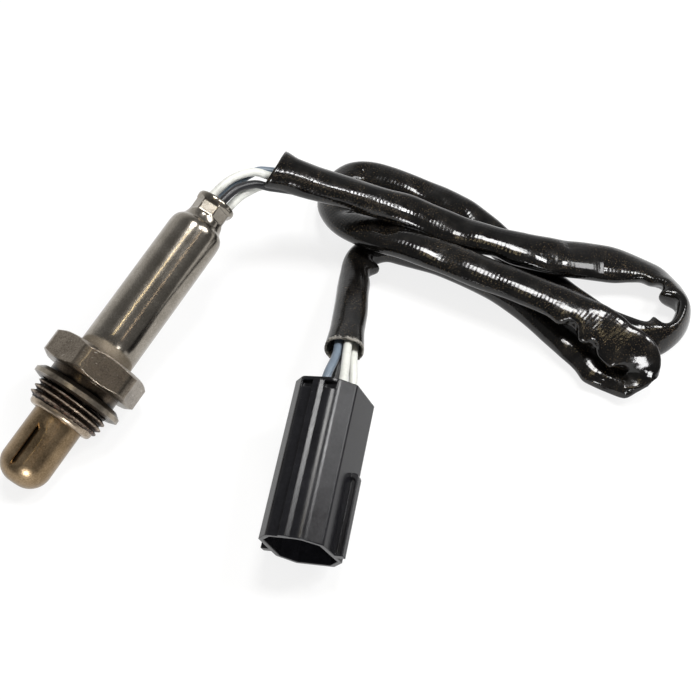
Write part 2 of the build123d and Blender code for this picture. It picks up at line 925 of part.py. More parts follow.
# ---- pins and wire seals ----
for wire_name, place in zip(plug_names, pin_places):
    with BuildPart() as pin:
        with BuildSketch(connector_section(pin_barrel_start)):
            with Locations(place):
                Rectangle(pin_width, pin_thickness)
        extrude(amount=pin_barrel_start - hood_depth + pin_reach)
        with BuildSketch(connector_section(pin_barrel_start)):
            with Locations(place):
                Circle(pin_barrel_radius)
        extrude(amount=pin_barrel_start - pin_barrel_end)
    pin.part.label = f"pin_{wire_name}"
    export_step(pin.part, f"parts/pin_{wire_name}.step")

    with BuildPart() as wire_seal:
        with BuildSketch(connector_section(seal_start)):
            with Locations(place):
                Circle(seal_bore_radius - fit_gap)
                Circle(wire_radius + wire_gap, mode=Mode.SUBTRACT)
        extrude(amount=seal_start - seal_end)
    wire_seal.part.label = f"wire_seal_{wire_name}"
    export_step(wire_seal.part, f"parts/wire_seal_{wire_name}.step")


# ---- woven sleeve round the wires ----
def arc_radii(points):
    """Largest arc at each inner point of a route that its two runs leave room for."""
    corners = [Vector(*point) for point in points]
    radii = []
    for before, middle, after in zip(corners, corners[1:], corners[2:]):
        arriving = middle - before
        leaving = after - middle
        shorter = min(arriving.length, leaving.length)
        half_turn = radians(arriving.get_angle(leaving)) / 2
        radii.append(arc_share * shorter / tan(half_turn))
    return radii


def tube_start(path):
    """Plane square to the start of a path."""
    return Plane(origin=path.line @ 0, z_dir=path.line % 0)


sleeve_radii = arc_radii(sleeve_route)
with BuildPart() as harness_sleeve:
    with BuildLine() as sleeve_path:
        FilletPolyline(*sleeve_route, radius=sleeve_radii)
    with BuildSketch(tube_start(sleeve_path)):
        Circle(sleeve_radius)
    sweep()
harness_sleeve.part.label = "harness_sleeve"
export_step(harness_sleeve.part, "parts/harness_sleeve.step")
sleeve_length = sum(edge.length for edge in sleeve_path.edges())
sleeve_volume = pi * sleeve_radius**2 * sleeve_length
print("sleeve length", round(sleeve_length, 1))
print("sleeve radii", [round(radius, 1) for radius in sleeve_radii])
print("volume against section x length", round(harness_sleeve.part.volume / sleeve_volume, 4))

# ---- wires, from the terminals to the sleeve and from the sleeve to the pins ----
front_mouth = Vector(*sleeve_route[0])
front_direction = (Vector(*sleeve_route[1]) - front_mouth).normalized()
rear_mouth = Vector(*sleeve_route[-1])
rear_direction = (rear_mouth - Vector(*sleeve_route[-2])).normalized()


def bundle_offset(direction, radius, turn):
    """Offset square to the direction, at a radius and an angle from the top."""
    upward = (Vector(0, 0, 1) - direction * direction.Z).normalized()
    sideways = direction.cross(upward)
    return (upward * cos(radians(turn)) + sideways * sin(radians(turn))) * radius


rim_point = seat_point + axis_direction * rim_end
front_shift = bundle_offset(front_direction, front_bundle_shift, front_shift_turn)

for number, wire_name in enumerate(wire_names):
    at_rim = at_wire(rim_end, number).origin
    rim_offset = at_rim - rim_point
    bundle_turn = front_bundle_turn + number * wire_pitch
    sleeve_offset = bundle_offset(front_direction, bundle_circle_radius, bundle_turn)
    at_sleeve = front_mouth + front_shift + sleeve_offset
    spread = rim_offset * (1 - front_middle_share) + sleeve_offset * front_middle_share
    front_route = [
        at_wire(terminal_barrel_end, number).origin,
        at_rim + axis_direction * front_straight,
        Vector(*front_middle) + spread,
        at_sleeve - front_direction * front_lead_in,
        at_sleeve,
    ]
    front_radii = arc_radii(front_route)
    print("front wire", wire_name, [round(radius, 1) for radius in front_radii])
    with BuildPart() as front_wire:
        with BuildLine() as wire_path:
            FilletPolyline(*front_route, radius=front_radii)
        with BuildSketch(tube_start(wire_path)):
            Circle(wire_radius)
        sweep()
    front_wire.part.label = f"front_wire_{wire_name}"
    export_step(front_wire.part, f"parts/front_wire_{wire_name}.step")

for number, (wire_name, place) in enumerate(zip(plug_names, pin_places)):
    bundle_turn = rear_bundle_turn + number * wire_pitch
    at_sleeve = rear_mouth + bundle_offset(rear_direction, bundle_circle_radius, bundle_turn)
    rear_route = [
        at_sleeve,
        at_sleeve + rear_direction * rear_lead_in,
        connector_point(*place, housing_length + rear_straight),
        connector_point(*place, pin_barrel_end),
    ]
    rear_radii = arc_radii(rear_route)
    print("rear wire", wire_name, [round(radius, 1) for radius in rear_radii])
    with BuildPart() as rear_wire:
        with BuildLine() as wire_path:
            FilletPolyline(*rear_route, radius=rear_radii)
        with BuildSketch(tube_start(wire_path)):
            Circle(wire_radius)
        sweep()
    rear_wire.part.label = f"rear_wire_{wire_name}"
    export_step(rear_wire.part, f"parts/rear_wire_{wire_name}.step")
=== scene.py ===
import math

import bmesh
import bpy
from mathutils import Matrix, Vector, noise


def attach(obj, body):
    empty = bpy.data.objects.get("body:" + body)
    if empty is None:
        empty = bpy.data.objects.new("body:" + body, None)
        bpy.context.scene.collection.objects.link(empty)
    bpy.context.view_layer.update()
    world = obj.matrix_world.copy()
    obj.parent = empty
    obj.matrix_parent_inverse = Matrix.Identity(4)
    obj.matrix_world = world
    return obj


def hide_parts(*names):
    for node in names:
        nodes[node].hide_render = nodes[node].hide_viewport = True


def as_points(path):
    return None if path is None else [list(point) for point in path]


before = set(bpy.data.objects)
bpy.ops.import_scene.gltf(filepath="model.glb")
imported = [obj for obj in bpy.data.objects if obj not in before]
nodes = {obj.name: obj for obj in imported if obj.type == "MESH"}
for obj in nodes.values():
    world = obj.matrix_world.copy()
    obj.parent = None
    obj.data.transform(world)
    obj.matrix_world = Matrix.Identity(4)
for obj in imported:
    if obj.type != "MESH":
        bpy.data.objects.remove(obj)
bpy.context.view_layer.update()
wireNames = ("black", "white_1", "grey", "white_2")
print("frame loaded:", len(nodes), "nodes")


# camera

cameraSet = {
    "place": (-0.093168, -0.126433, 0.232763),
    "ahead": (0.45763, 0.30856, -0.83389),
    "right": (0.5591, -0.8291, 0.0),
    "lens": 59.143,
    "sensor": 36.0,
}


def addCamera(settings):
    ahead = Vector(settings["ahead"]).normalized()
    right = Vector(settings["right"]).normalized()
    up = right.cross(ahead)
    turn = Matrix((right, up, -ahead)).transposed().to_4x4()
    data = bpy.data.cameras.new("camera")
    data.lens = settings["lens"]
    data.sensor_width = settings["sensor"]
    data.clip_start, data.clip_end = 0.005, 20.0
    camera = bpy.data.objects.new("camera", data)
    camera.matrix_world = Matrix.Translation(settings["place"]) @ turn
    bpy.context.scene.collection.objects.link(camera)
    bpy.context.scene.camera = camera


addCamera(cameraSet)
bpy.context.scene.view_settings.view_transform = "Standard"
print("camera placed")


# small helpers for meshes and materials

def addPiece(name, mesh, material):
    piece = bpy.data.objects.new(name, mesh)
    bpy.context.scene.collection.objects.link(piece)
    mesh.materials.clear()
    mesh.materials.append(material)
    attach(piece, "root")
    return piece


def newMaterial(name, color, roughness, metallic=0.0, specular=0.5):
    material = bpy.data.materials.new(name)
    material.use_nodes = True
    shader = material.node_tree.nodes["Principled BSDF"]
    shader.inputs["Base Color"].default_value = (*color, 1.0)
    shader.inputs["Roughness"].default_value = roughness
    shader.inputs["Metallic"].default_value = metallic
    shader.inputs["Specular IOR Level"].default_value = specular
    return material, material.node_tree, shader


def mapped(tree, vector, scale=(1, 1, 1), turn=(0, 0, 0)):
    mapping = tree.nodes.new("ShaderNodeMapping")
    mapping.inputs["Scale"].default_value = scale
    mapping.inputs["Rotation"].default_value = turn
    tree.links.new(vector, mapping.inputs["Vector"])
    return mapping.outputs["Vector"]


def coords(tree, scale=(1, 1, 1), turn=(0, 0, 0)):
    texture = tree.nodes.new("ShaderNodeTexCoord")
    turned = mapped(tree, texture.outputs["Object"], turn=turn)
    return mapped(tree, turned, scale=scale)


def noiseNode(tree, vector, scale, detail=2.0, roughness=0.5):
    node = tree.nodes.new("ShaderNodeTexNoise")
    node.inputs["Scale"].default_value = scale
    node.inputs["Detail"].default_value = detail
    node.inputs["Roughness"].default_value = roughness
    tree.links.new(vector, node.inputs["Vector"])
    return node.outputs["Fac"]


def ramp(tree, factor, stops, interpolation="LINEAR"):
    node = tree.nodes.new("ShaderNodeValToRGB")
    node.color_ramp.interpolation = interpolation
    while len(node.color_ramp.elements) < len(stops):
        node.color_ramp.elements.new(0.5)
    for element, (place, color) in zip(node.color_ramp.elements, stops):
        element.position = place
        element.color = (*color, 1.0)
    tree.links.new(factor, node.inputs["Fac"])
    return node.outputs["Color"]


def rangeNode(tree, value, low, high, outLow, outHigh):
    node = tree.nodes.new("ShaderNodeMapRange")
    for socket, number in zip(("From Min", "From Max", "To Min", "To Max"), (low, high, outLow, outHigh)):
        node.inputs[socket].default_value = number
    tree.links.new(value, node.inputs["Value"])
    return node.outputs["Result"]


def mathNode(tree, operation, first, second):
    node = tree.nodes.new("ShaderNodeMath")
    node.operation = operation
    for socket, value in zip(node.inputs, (first, second)):
        if isinstance(value, (int, float)):
            socket.default_value = value
        else:
            tree.links.new(value, socket)
    return node.outputs["Value"]


def blendOf(tree, first, firstShare, second, secondShare):
    return mathNode(tree, "ADD", mathNode(tree, "MULTIPLY", first, firstShare),
                    mathNode(tree, "MULTIPLY", second, secondShare))


def addBump(tree, shader, height, strength, distance, edge=0.0):
    node = tree.nodes.new("ShaderNodeBump")
    if edge:  # corners shaded as if broken by this radius
        rounding = tree.nodes.new("ShaderNodeBevel")
        rounding.samples = 6
        rounding.inputs["Radius"].default_value = edge
        tree.links.new(rounding.outputs["Normal"], node.inputs["Normal"])
    node.inputs["Strength"].default_value = strength
    node.inputs["Distance"].default_value = distance
    tree.links.new(height, node.inputs["Height"])
    tree.links.new(node.outputs["Normal"], shader.inputs["Normal"])


def mixColor(tree, factor, first, second):
    node = tree.nodes.new("ShaderNodeMix")
    node.data_type = "RGBA"
    colorSockets = [socket for socket in node.inputs if socket.type == "RGBA"]
    tree.links.new(factor, node.inputs[0])
    for socket, value in zip(colorSockets, (first, second)):
        if isinstance(value, tuple):
            socket.default_value = (*value, 1.0)
        else:
            tree.links.new(value, socket)
    return next(socket for socket in node.outputs if socket.type == "RGBA")


# cords: each follows points read from a smooth spline through its route

def splineLine(name, route, resolution=16):
    curve = bpy.data.curves.new(name, "CURVE")
    curve.dimensions = "3D"
    curve.resolution_u = resolution
    spline = curve.splines.new("NURBS")
    spline.points.add(len(route) - 1)
    for point, place in zip(spline.points, route):
        point.co = (*place, 1.0)
    spline.order_u = 3
    spline.use_endpoint_u = True
    holder = bpy.data.objects.new(name, curve)
    mesh = bpy.data.meshes.new_from_object(holder)
    line = [vertex.co.copy() for vertex in mesh.vertices]
    bpy.data.meshes.remove(mesh)
    bpy.data.objects.remove(holder)
    return line


def lineLength(line):
    return sum((b - a).length for a, b in zip(line, line[1:]))


def evenLine(line, step):
    total = lineLength(line)
    count = max(2, round(total / step))
    result, walked, index = [line[0].copy()], 0.0, 0
    for number in range(1, count):
        wanted = total * number / count
        while walked + (line[index + 1] - line[index]).length < wanted:
            walked += (line[index + 1] - line[index]).length
            index += 1
        span = (line[index + 1] - line[index]).length
        result.append(line[index].lerp(line[index + 1], (wanted - walked) / span))
    return result + [line[-1].copy()]


def ease(table, place):  # value of a table of (place, value) rows, eased between its rows
    if place <= table[0][0]:
        return table[0][1]
    for (a, low), (b, high) in zip(table, table[1:]):
        if place <= b:
            part = (place - a) / (b - a)
            part = part * part * (3 - 2 * part)
            return low + (high - low) * part
    return table[-1][1]


def lineFrames(line, roll=((0, 0),)):
    # at each point: its place, the ways along, across and up, and the distance walked in mm
    frames, walked, carried = [], 0.0, Vector((0, 0, 1))
    for number, place in enumerate(line):
        before, after = line[max(0, number - 1)], line[min(len(line) - 1, number + 1)]
        along = (after - before).normalized()
        if number:
            walked += (place - line[number - 1]).length * 1000
        level = Vector((0, 0, 1)) - along * along.z
        if number and level.dot(carried) < 0:
            level.negate()
        carried = level if level.length > 0.2 else carried - along * carried.dot(along)
        carried.normalize()
        up = Matrix.Rotation(math.radians(ease(roll, walked)), 3, along) @ carried
        frames.append((place, along, up.cross(along).normalized(), up, walked))
    return frames


def gridMesh(name, columns, rows, placeOf, uvSize):
    # a flat grid bent round by placeOf(u, v), its seam and its poles merged
    mesh = bmesh.new()
    uvLayer = mesh.loops.layers.uv.new("along")
    bmesh.ops.create_grid(mesh, x_segments=columns, y_segments=rows, size=0.5)
    spots = {vertex: (vertex.co.x + 0.5, vertex.co.y + 0.5) for vertex in mesh.verts}
    for face in mesh.faces:
        for loop in face.loops:
            u, v = spots[loop.vert]
            loop[uvLayer].uv = (u * uvSize[0], v * uvSize[1])
    for vertex, (u, v) in spots.items():
        vertex.co = placeOf(u, v)
    bmesh.ops.remove_doubles(mesh, verts=mesh.verts, dist=1e-7)
    bmesh.ops.recalc_face_normals(mesh, faces=mesh.faces)
    return finishMesh(mesh, name)


def finishMesh(mesh, name, smooth=True):
    for face in mesh.faces:
        face.smooth = smooth
    data = bpy.data.meshes.new(name)
    mesh.to_mesh(data)
    mesh.free()
    return data


# woven sleeve

sleeveSet = {
    "route": (  # mm, as every length here that isn't marked
        (54.0, -6.3, 25.3), (58.3, -15.0, 21.7), (64.7, -24.7, 17.0), (71.9, -39.3, 10.9),
        (75.3, -56.5, 10.3), (79.3, -69.4, 10.0), (88.6, -79.5, 5.0), (93.0, -87.8, 3.6),
        (93.4, -97.0, 3.4), (87.5, -103.7, 3.4), (78.6, -103.8, 3.4), (73.6, -98.0, 3.4),
        (73.2, -86.4, 3.4), (77.7, -66.2, 3.4), (85.4, -41.2, 3.4), (83.6, -23.1, 3.4),
        (81.1, -11.7, 3.5), (74.1, -9.6, 3.9), (66.7, -12.4, 5.3), (61.3, -19.9, 8.1),
        (59.9, -28.6, 10.6), (63.1, -40.7, 10.6), (65.9, -60.7, 10.5), (68.0, -79.7, 10.7),
        (67.2, -88.5, 10.8), (65.6, -95.9, 9.8), (64.9, -101.3, 9.4), (63.7, -101.7, 2.4),
        (61.5, -96.9, 2.5), (62.8, -88.9, 3.1), (67.9, -68.3, 3.4), (68.4, -48.5, 3.4),
        (65.4, -37.2, 3.4), (64.0, -31.2, 3.5), (57.5, -27.6, 3.6), (47.8, -32.5, 6.2),
        (36.9, -38.8, 10.4), (26.1, -44.4, 14.0),
    ),
    "step": 0.7, "around": 56,
    # rows of (distance along, size), both in mm
    "width": (
        (0, 11.3), (4, 9.4), (18, 8.5), (32, 8.4), (44, 8.9), (56, 8.7), (64, 9.8), (72, 10.8),
        (80, 11.2), (88, 10.9), (97, 9.4), (112, 8.6), (135, 8.8), (180, 8.8), (205, 8.4),
        (226, 7.8), (240, 8.4), (252, 8.2), (277, 8.9), (292, 8.8), (302, 9.4), (310, 10.6),
        (318, 11.0), (324, 10.8), (332, 10.0), (342, 9.0), (362, 6.6), (382, 7.4), (401, 7.4),
        (411, 7.8), (434, 8.1), (444, 9.2),
    ),
    "height": (
        (0, 7.2), (12, 6.4), (35, 5.8), (60, 5.4), (80, 4.9), (96, 4.8), (105, 4.1), (118, 3.7),
        (130, 4.8), (180, 5.0), (226, 6.0), (250, 5.6), (296, 5.0), (310, 3.9), (322, 3.6),
        (332, 4.2), (362, 5.8), (406, 6.0), (426, 6.4), (444, 7.2),
    ),
    "roll": (
        (86, 0), (98, -28), (104, -50), (112, -78), (119, -82), (130, -30), (142, 0), (210, 0),
        (226, 25), (240, 0), (300, 0), (314, 26), (322, 26), (336, 0),
    ),
    "squareness": ((0, 2.25), (300, 2.25), (314, 3.6), (325, 3.6), (340, 2.25)),
    "wall": 0.45, "lipDepth": 9.0,
    "wobble": 0.22, "wobbleAround": 0.9, "wobbleLength": 9,
    "floorGap": 0.00012, "floorGapInside": 0.0004, "girth": 0.022,  # m
    "frontLean": (2.4, 0.8, 6.0),  # back at its near side, forward at its far side, fading over, in mm
    "fray": 0.35, "frayAround": 9, "frayFade": 0.8,
    "foldShift": (320, 8.0, 2.2),  # the fold's near side drawn back along the table
    "creases": (  # distance along, side in degrees from the left, depth, length and width in degrees
        (34, 20, -0.8, 5.0, 40), (44, 180, -0.9, 6.0, 36), (48, 90, 0.7, 3.0, 60),
        (58, 200, 0.5, 2.5, 40), (70, 120, 0.6, 2.2, 35), (76, 60, 0.5, 2.0, 35),
        (84, 130, 0.6, 2.0, 35), (97, 180, 0.6, 2.0, 35), (102.5, 180, 1.3, 1.9, 40),
        (106.8, 180, -2.9, 2.3, 42), (111, 180, 0.8, 2.0, 40), (119, 180, 0.6, 2.0, 40),
        (123.5, 180, -2.5, 2.2, 42), (150, 0, 0.5, 3.0, 50), (172, 90, 0.7, 4.0, 40),
        (184, 110, -0.6, 3.5, 40), (196, 100, 0.6, 3.0, 50), (208, 0, -0.7, 3.0, 35),
        (214, 70, 0.9, 2.0, 35), (238, 60, 0.9, 2.4, 40), (251, 0, -1.9, 6.0, 34),
        (252, 60, 0.6, 2.5, 50), (268, 100, 0.4, 3.5, 50), (300, 180, -0.6, 2.0, 30),
        (304, 180, 2.0, 1.9, 36), (308, 180, -0.9, 1.6, 30), (312, 180, 1.7, 1.7, 36),
        (316, 150, 1.0, 1.5, 26), (309, 80, 0.45, 2.4, 40), (314.5, 60, 0.5, 1.6, 40),
        (320, 100, 0.5, 2.4, 50), (328, 0, -1.0, 1.8, 35), (332, 30, 1.2, 1.7, 34),
        (336, 0, -0.7, 1.8, 35), (341, 40, 0.8, 2.0, 36), (398, 90, 0.8, 2.0, 60),
        (405, 0, 0.8, 1.6, 40), (408.5, 0, -1.8, 1.6, 34), (412, 0, 0.8, 2.0, 40),
    ),
}


def routePoints(route):
    return [Vector(point) / 1000 for point in route]


def makeSleeve(settings):
    line = evenLine(splineLine("sleeve line", routePoints(settings["route"])), settings["step"] / 1000)
    frames = lineFrames(line, settings["roll"])
    total = frames[-1][4]
    inner = max(2, round(settings["lipDepth"] / settings["step"]))
    # rows run from inside the front mouth, out over its lip, along, and into the rear mouth
    rows = [(inner, None)] + [(n, 1.0) for n in range(inner, -1, -1)]
    rows += [(n, 0.0) for n in range(len(frames))]
    rows += [(len(frames) - 1 - n, 1.0) for n in range(inner + 1)] + [(len(frames) - 1 - inner, None)]
    last = len(rows) - 1

    def placeOf(u, v):
        number, inside = rows[round(v * last)]
        place, along, across, up, walked = frames[number]
        if inside is None:
            return place
        angle = 2 * math.pi * u
        c, s = math.cos(angle), math.sin(angle)
        power = 2 / ease(settings["squareness"], walked)
        x = math.copysign(abs(c) ** power, c) * ease(settings["width"], walked) / 2
        y = math.copysign(abs(s) ** power, s) * ease(settings["height"], walked) / 2
        reach = math.hypot(x, y)
        spread = settings["wobbleAround"]
        spot = Vector((c * spread, s * spread, walked / settings["wobbleLength"]))
        reach += settings["wobble"] * noise.noise(spot)
        for at, side, deep, length, wide in settings["creases"]:
            if abs(walked - at) < 3 * length:
                apart = (math.degrees(angle) + ease(settings["roll"], walked) - side + 180) % 360 - 180
                reach -= deep * math.exp(-((walked - at) / length) ** 2 - (apart / wide) ** 2)
        reach -= settings["wall"] * inside
        way = (across * x + up * y).normalized()
        result = place + way * reach / 1000
        back, forward, fade = settings["frontLean"]
        result += along * ((forward - (back + forward) * (1 - c) / 2) * math.exp(-walked / fade) / 1000)
        at, length, size = settings["foldShift"]
        result.y += size * (0.5 - 0.5 * way.x) * math.exp(-((walked - at) / length) ** 2) / 1000
        spread = settings["frayAround"]
        faded = math.exp((walked - total) / settings["frayFade"])
        fray = noise.noise(Vector((c * spread, s * spread, 3))) * faded
        result += along * (fray * settings["fray"] / 1000)
        result.z = max(result.z, settings["floorGap"] + settings["floorGapInside"] * inside)
        return result

    mesh = gridMesh("harnessSleeve", settings["around"], last, placeOf, (settings["girth"], total / 1000))
    return mesh, line, (inner + 1 + len(frames)) / last * total / 1000


coatSet = {
    "coat": ((0.35, (0.0018, 0.0017, 0.0017)), (0.60, (0.0045, 0.0041, 0.0038)),
             (0.75, (0.010, 0.0085, 0.007))),
    "fleck": (0.15, 0.108, 0.06), "fleckScale": 3400, "fleckTurn": (0.5, 0.3, 0.9),
    "fleckRange": (0.60, 0.68, 0, 1), "patchScale": 110, "patchRange": (0.40, 0.62, 0.05, 0.8),
    "weavePitch": 0.0019, "weaveDrift": 5.0, "lumpScale": 360,
    "roughness": (0.35, 0.65, 0.09, 0.18), "frayRoughness": 0.6,
    "fray": (0.30, 0.285, 0.255), "frayDepth": 0.0009, "threadScale": 1300,
    "frayWander": 0.0022, "frayMiddle": 0.0011, "frayFade": 0.0003, "threadRange": (0.40, 0.58, 0.15, 1),
    "weaveHeight": 0.17, "fineHeight": 0.16, "bump": (0.55, 0.00010),
}


# varnish over a fine diagonal weave, with flecks of bare thread and a frayed rear lip
def makeCoat(settings, lipPlace):
    material, tree, shader = newMaterial("coatedSleeve", settings["coat"][1][1], 0.2, specular=0.45)
    texture = tree.nodes.new("ShaderNodeTexCoord")
    parts = tree.nodes.new("ShaderNodeSeparateXYZ")
    tree.links.new(texture.outputs["UV"], parts.inputs["Vector"])
    vector = coords(tree)
    lumps = noiseNode(tree, vector, settings["lumpScale"], 2, 0.5)
    fine = noiseNode(tree, coords(tree, turn=settings["fleckTurn"]), settings["fleckScale"], 3, 0.6)
    patches = noiseNode(tree, vector, settings["patchScale"], 3, 0.5)
    turn = 2 * math.pi / settings["weavePitch"]
    drift = mathNode(tree, "MULTIPLY", lumps, settings["weaveDrift"])
    waves = []
    for way in ("ADD", "SUBTRACT"):
        slant = mathNode(tree, way, parts.outputs["X"], parts.outputs["Y"])
        phase = mathNode(tree, "ADD", mathNode(tree, "MULTIPLY", slant, turn), drift)
        waves.append(mathNode(tree, "SINE", phase, 0))
    weave = mathNode(tree, "MULTIPLY", *waves)
    color = ramp(tree, lumps, settings["coat"])
    flecks = rangeNode(tree, fine, *settings["fleckRange"])
    flecks = mathNode(tree, "MULTIPLY", flecks, rangeNode(tree, patches, *settings["patchRange"]))
    color = mixColor(tree, flecks, color, settings["fleck"])
    threads = noiseNode(tree, coords(tree), settings["threadScale"], 3, 0.7)
    wander = mathNode(tree, "MULTIPLY", threads, settings["frayWander"])
    edge = mathNode(tree, "ADD", parts.outputs["Y"], wander)
    frayStart = lipPlace - settings["frayDepth"] + settings["frayMiddle"]
    fray = rangeNode(tree, edge, frayStart, frayStart + settings["frayFade"], 0, 1)
    fray = mathNode(tree, "MULTIPLY", fray, rangeNode(tree, threads, *settings["threadRange"]))
    color = mixColor(tree, fray, color, settings["fray"])
    tree.links.new(color, shader.inputs["Base Color"])
    rough = rangeNode(tree, lumps, *settings["roughness"])
    rough = mathNode(tree, "ADD", rough, mathNode(tree, "MULTIPLY", fray, settings["frayRoughness"]))
    tree.links.new(rough, shader.inputs["Roughness"])
    height = blendOf(tree, weave, settings["weaveHeight"], lumps, 1.0)
    height = mathNode(tree, "ADD", height, mathNode(tree, "MULTIPLY", fine, settings["fineHeight"]))
    addBump(tree, shader, height, *settings["bump"])
    return material


sleeveMesh, sleeveLine, lipPlace = makeSleeve(sleeveSet)
sleeve = addPiece("harnessSleeve", sleeveMesh, makeCoat(coatSet, lipPlace))
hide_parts("harness_sleeve")
print("sleeve made, length %.1f mm" % (lineLength(sleeveLine) * 1000))


# wires

wireSet = {
    "radius": 1.0, "step": 0.35, "around": 20,
    "front": {  # mm, from inside the crimped neck to inside the sleeve
        "black": ((27.3, -1.4, 23.9), (40.3, -1.3, 27.3), (47.5, -3.7, 25.4), (49.5, -6.6, 23.7),
                  (51.1, -8.6, 23.1), (55.4, -15.2, 21.2)),
        "white_1": ((28.2, -1.8, 20.7), (40.9, -2.0, 23.9), (48.6, -3.8, 23.0), (50.7, -5.0, 22.2),
                    (52.4, -7.1, 21.8), (56.6, -13.8, 20.0)),
        "grey": ((28.3, 1.4, 20.3), (41.0, 1.5, 23.6), (51.2, -1.2, 25.0), (53.5, -4.1, 24.3),
                 (54.9, -6.2, 23.8), (58.8, -12.6, 21.6)),
        "white_2": ((27.4, 1.8, 23.5), (40.5, 2.0, 27.0), (49.7, -1.5, 26.7), (51.8, -6.0, 24.8),
                    (53.6, -7.9, 24.8), (57.6, -14.4, 22.6)),
    },
    "rear": {  # mm, from inside the sleeve to the backs of the pins
        "black": ((31.5, -41.1, 11.0), (25.4, -43.9, 12.6), (22.6, -45.3, 13.5),
                  (17.0, -47.3, 12.0), (8.9, -50.7, 10.8)),
        "white_1": ((32.6, -43.2, 11.0), (27.2, -46.3, 13.0), (24.6, -47.8, 14.0),
                    (18.9, -51.8, 13.4), (10.5, -54.8, 12.1)),
        "white_2": ((32.6, -41.8, 13.0), (26.8, -44.9, 15.4), (24.1, -46.4, 16.3),
                    (17.3, -50.3, 18.4), (9.2, -53.6, 17.2)),
        "grey": ((31.4, -40.0, 12.6), (25.7, -43.0, 14.8), (22.9, -44.5, 15.7),
                 (15.7, -46.2, 17.1), (7.7, -49.5, 15.9)),
    },
    "colors": {"black": (0.010, 0.010, 0.012), "white": (0.66, 0.67, 0.63), "grey": (0.15, 0.19, 0.24)},
    "tones": ((0.35, 0.86), (0.5, 1.0), (0.65, 1.06)),
    "roughness": (0.35, 0.65, 0.30, 0.44), "drawnScale": 1400, "dullScale": 240, "drawnShare": 0.4,
    "dullShare": 0.6, "bump": (0.12, 0.0001), "girth": 0.0063,  # girth in m
}


def makeWires(settings):
    materials, made = {}, []
    for colorName, color in settings["colors"].items():
        material, tree, shader = newMaterial("insulation_" + colorName, color, 0.38)
        drawn = noiseNode(tree, coords(tree), settings["drawnScale"], 3)
        dull = noiseNode(tree, coords(tree), settings["dullScale"], 3)
        tones = [(place, tuple(part * tone for part in color)) for place, tone in settings["tones"]]
        handled = blendOf(tree, drawn, settings["drawnShare"], dull, settings["dullShare"])
        tree.links.new(ramp(tree, handled, tones), shader.inputs["Base Color"])
        tree.links.new(rangeNode(tree, handled, *settings["roughness"]), shader.inputs["Roughness"])
        addBump(tree, shader, drawn, *settings["bump"])
        materials[colorName] = material
    for end in ("front", "rear"):
        for name, route in settings[end].items():
            line = evenLine(splineLine("wire line", routePoints(route)), settings["step"] / 1000)
            frames = lineFrames(line)
            last = len(frames) + 1

            def placeOf(u, v):
                row = round(v * last)
                place, along, across, up, walked = frames[min(max(row - 1, 0), len(frames) - 1)]
                if row in (0, last):
                    return place
                angle = 2 * math.pi * u
                return place + (across * math.cos(angle) + up * math.sin(angle)) * settings["radius"] / 1000

            uvSize = (settings["girth"], frames[-1][4] / 1000)
            mesh = gridMesh(end + "Wire_" + name, settings["around"], last, placeOf, uvSize)
            colorName = name.split("_")[0]
            wire = addPiece(end + "Wire_" + name, mesh, materials[colorName])
            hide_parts(end + "_wire_" + name)
            made.append(wire)
    return made


wires = makeWires(wireSet)
print("wires made:", len(wires))


plugNodes = [nodes[name] for name in ("connector_housing", "pin_lock")]
plugNodes += [nodes[part + name] for part in ("pin_", "wire_seal_") for name in wireNames]
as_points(sleeveLine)


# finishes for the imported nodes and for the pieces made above

def makeFinish(name, look):
    material, tree, shader = newMaterial(
        name, look["colors"][0][1], look["roughness"][0],
        look.get("metallic", 0.0), look.get("specular", 0.5))
    grain = noiseNode(tree, coords(tree), look["grain"], 4.0, 0.6)
    patches = noiseNode(tree, coords(tree), look["patches"], 3.0)
    mixed = blendOf(tree, grain, 1 - look["patchShare"], patches, look["patchShare"])
    color = ramp(tree, mixed, look["colors"])
    if "specks" in look:
        scale, least, most, speckColor = look["specks"]
        spots = noiseNode(tree, coords(tree), scale, 2.0)
        color = mixColor(tree, rangeNode(tree, spots, least, most, 0, 1), color, speckColor)
    tree.links.new(color, shader.inputs["Base Color"])
    tree.links.new(rangeNode(tree, mixed, 0.3, 0.7, *look["roughness"]), shader.inputs["Roughness"])
    if "brushed" in look:  # fine marks running round, so lights smear along
        tangent = tree.nodes.new("ShaderNodeTangent")
        tangent.direction_type = "UV_MAP"
        tangent.uv_map = "along"
        tree.links.new(tangent.outputs["Tangent"], shader.inputs["Tangent"])
        shader.inputs["Anisotropic"].default_value = look["brushed"]
        shader.inputs["Anisotropic Rotation"].default_value = 0.25
    strength, depth = look["bump"]
    addBump(tree, shader, grain, strength, depth, look.get("edge", 0.0))
    return material


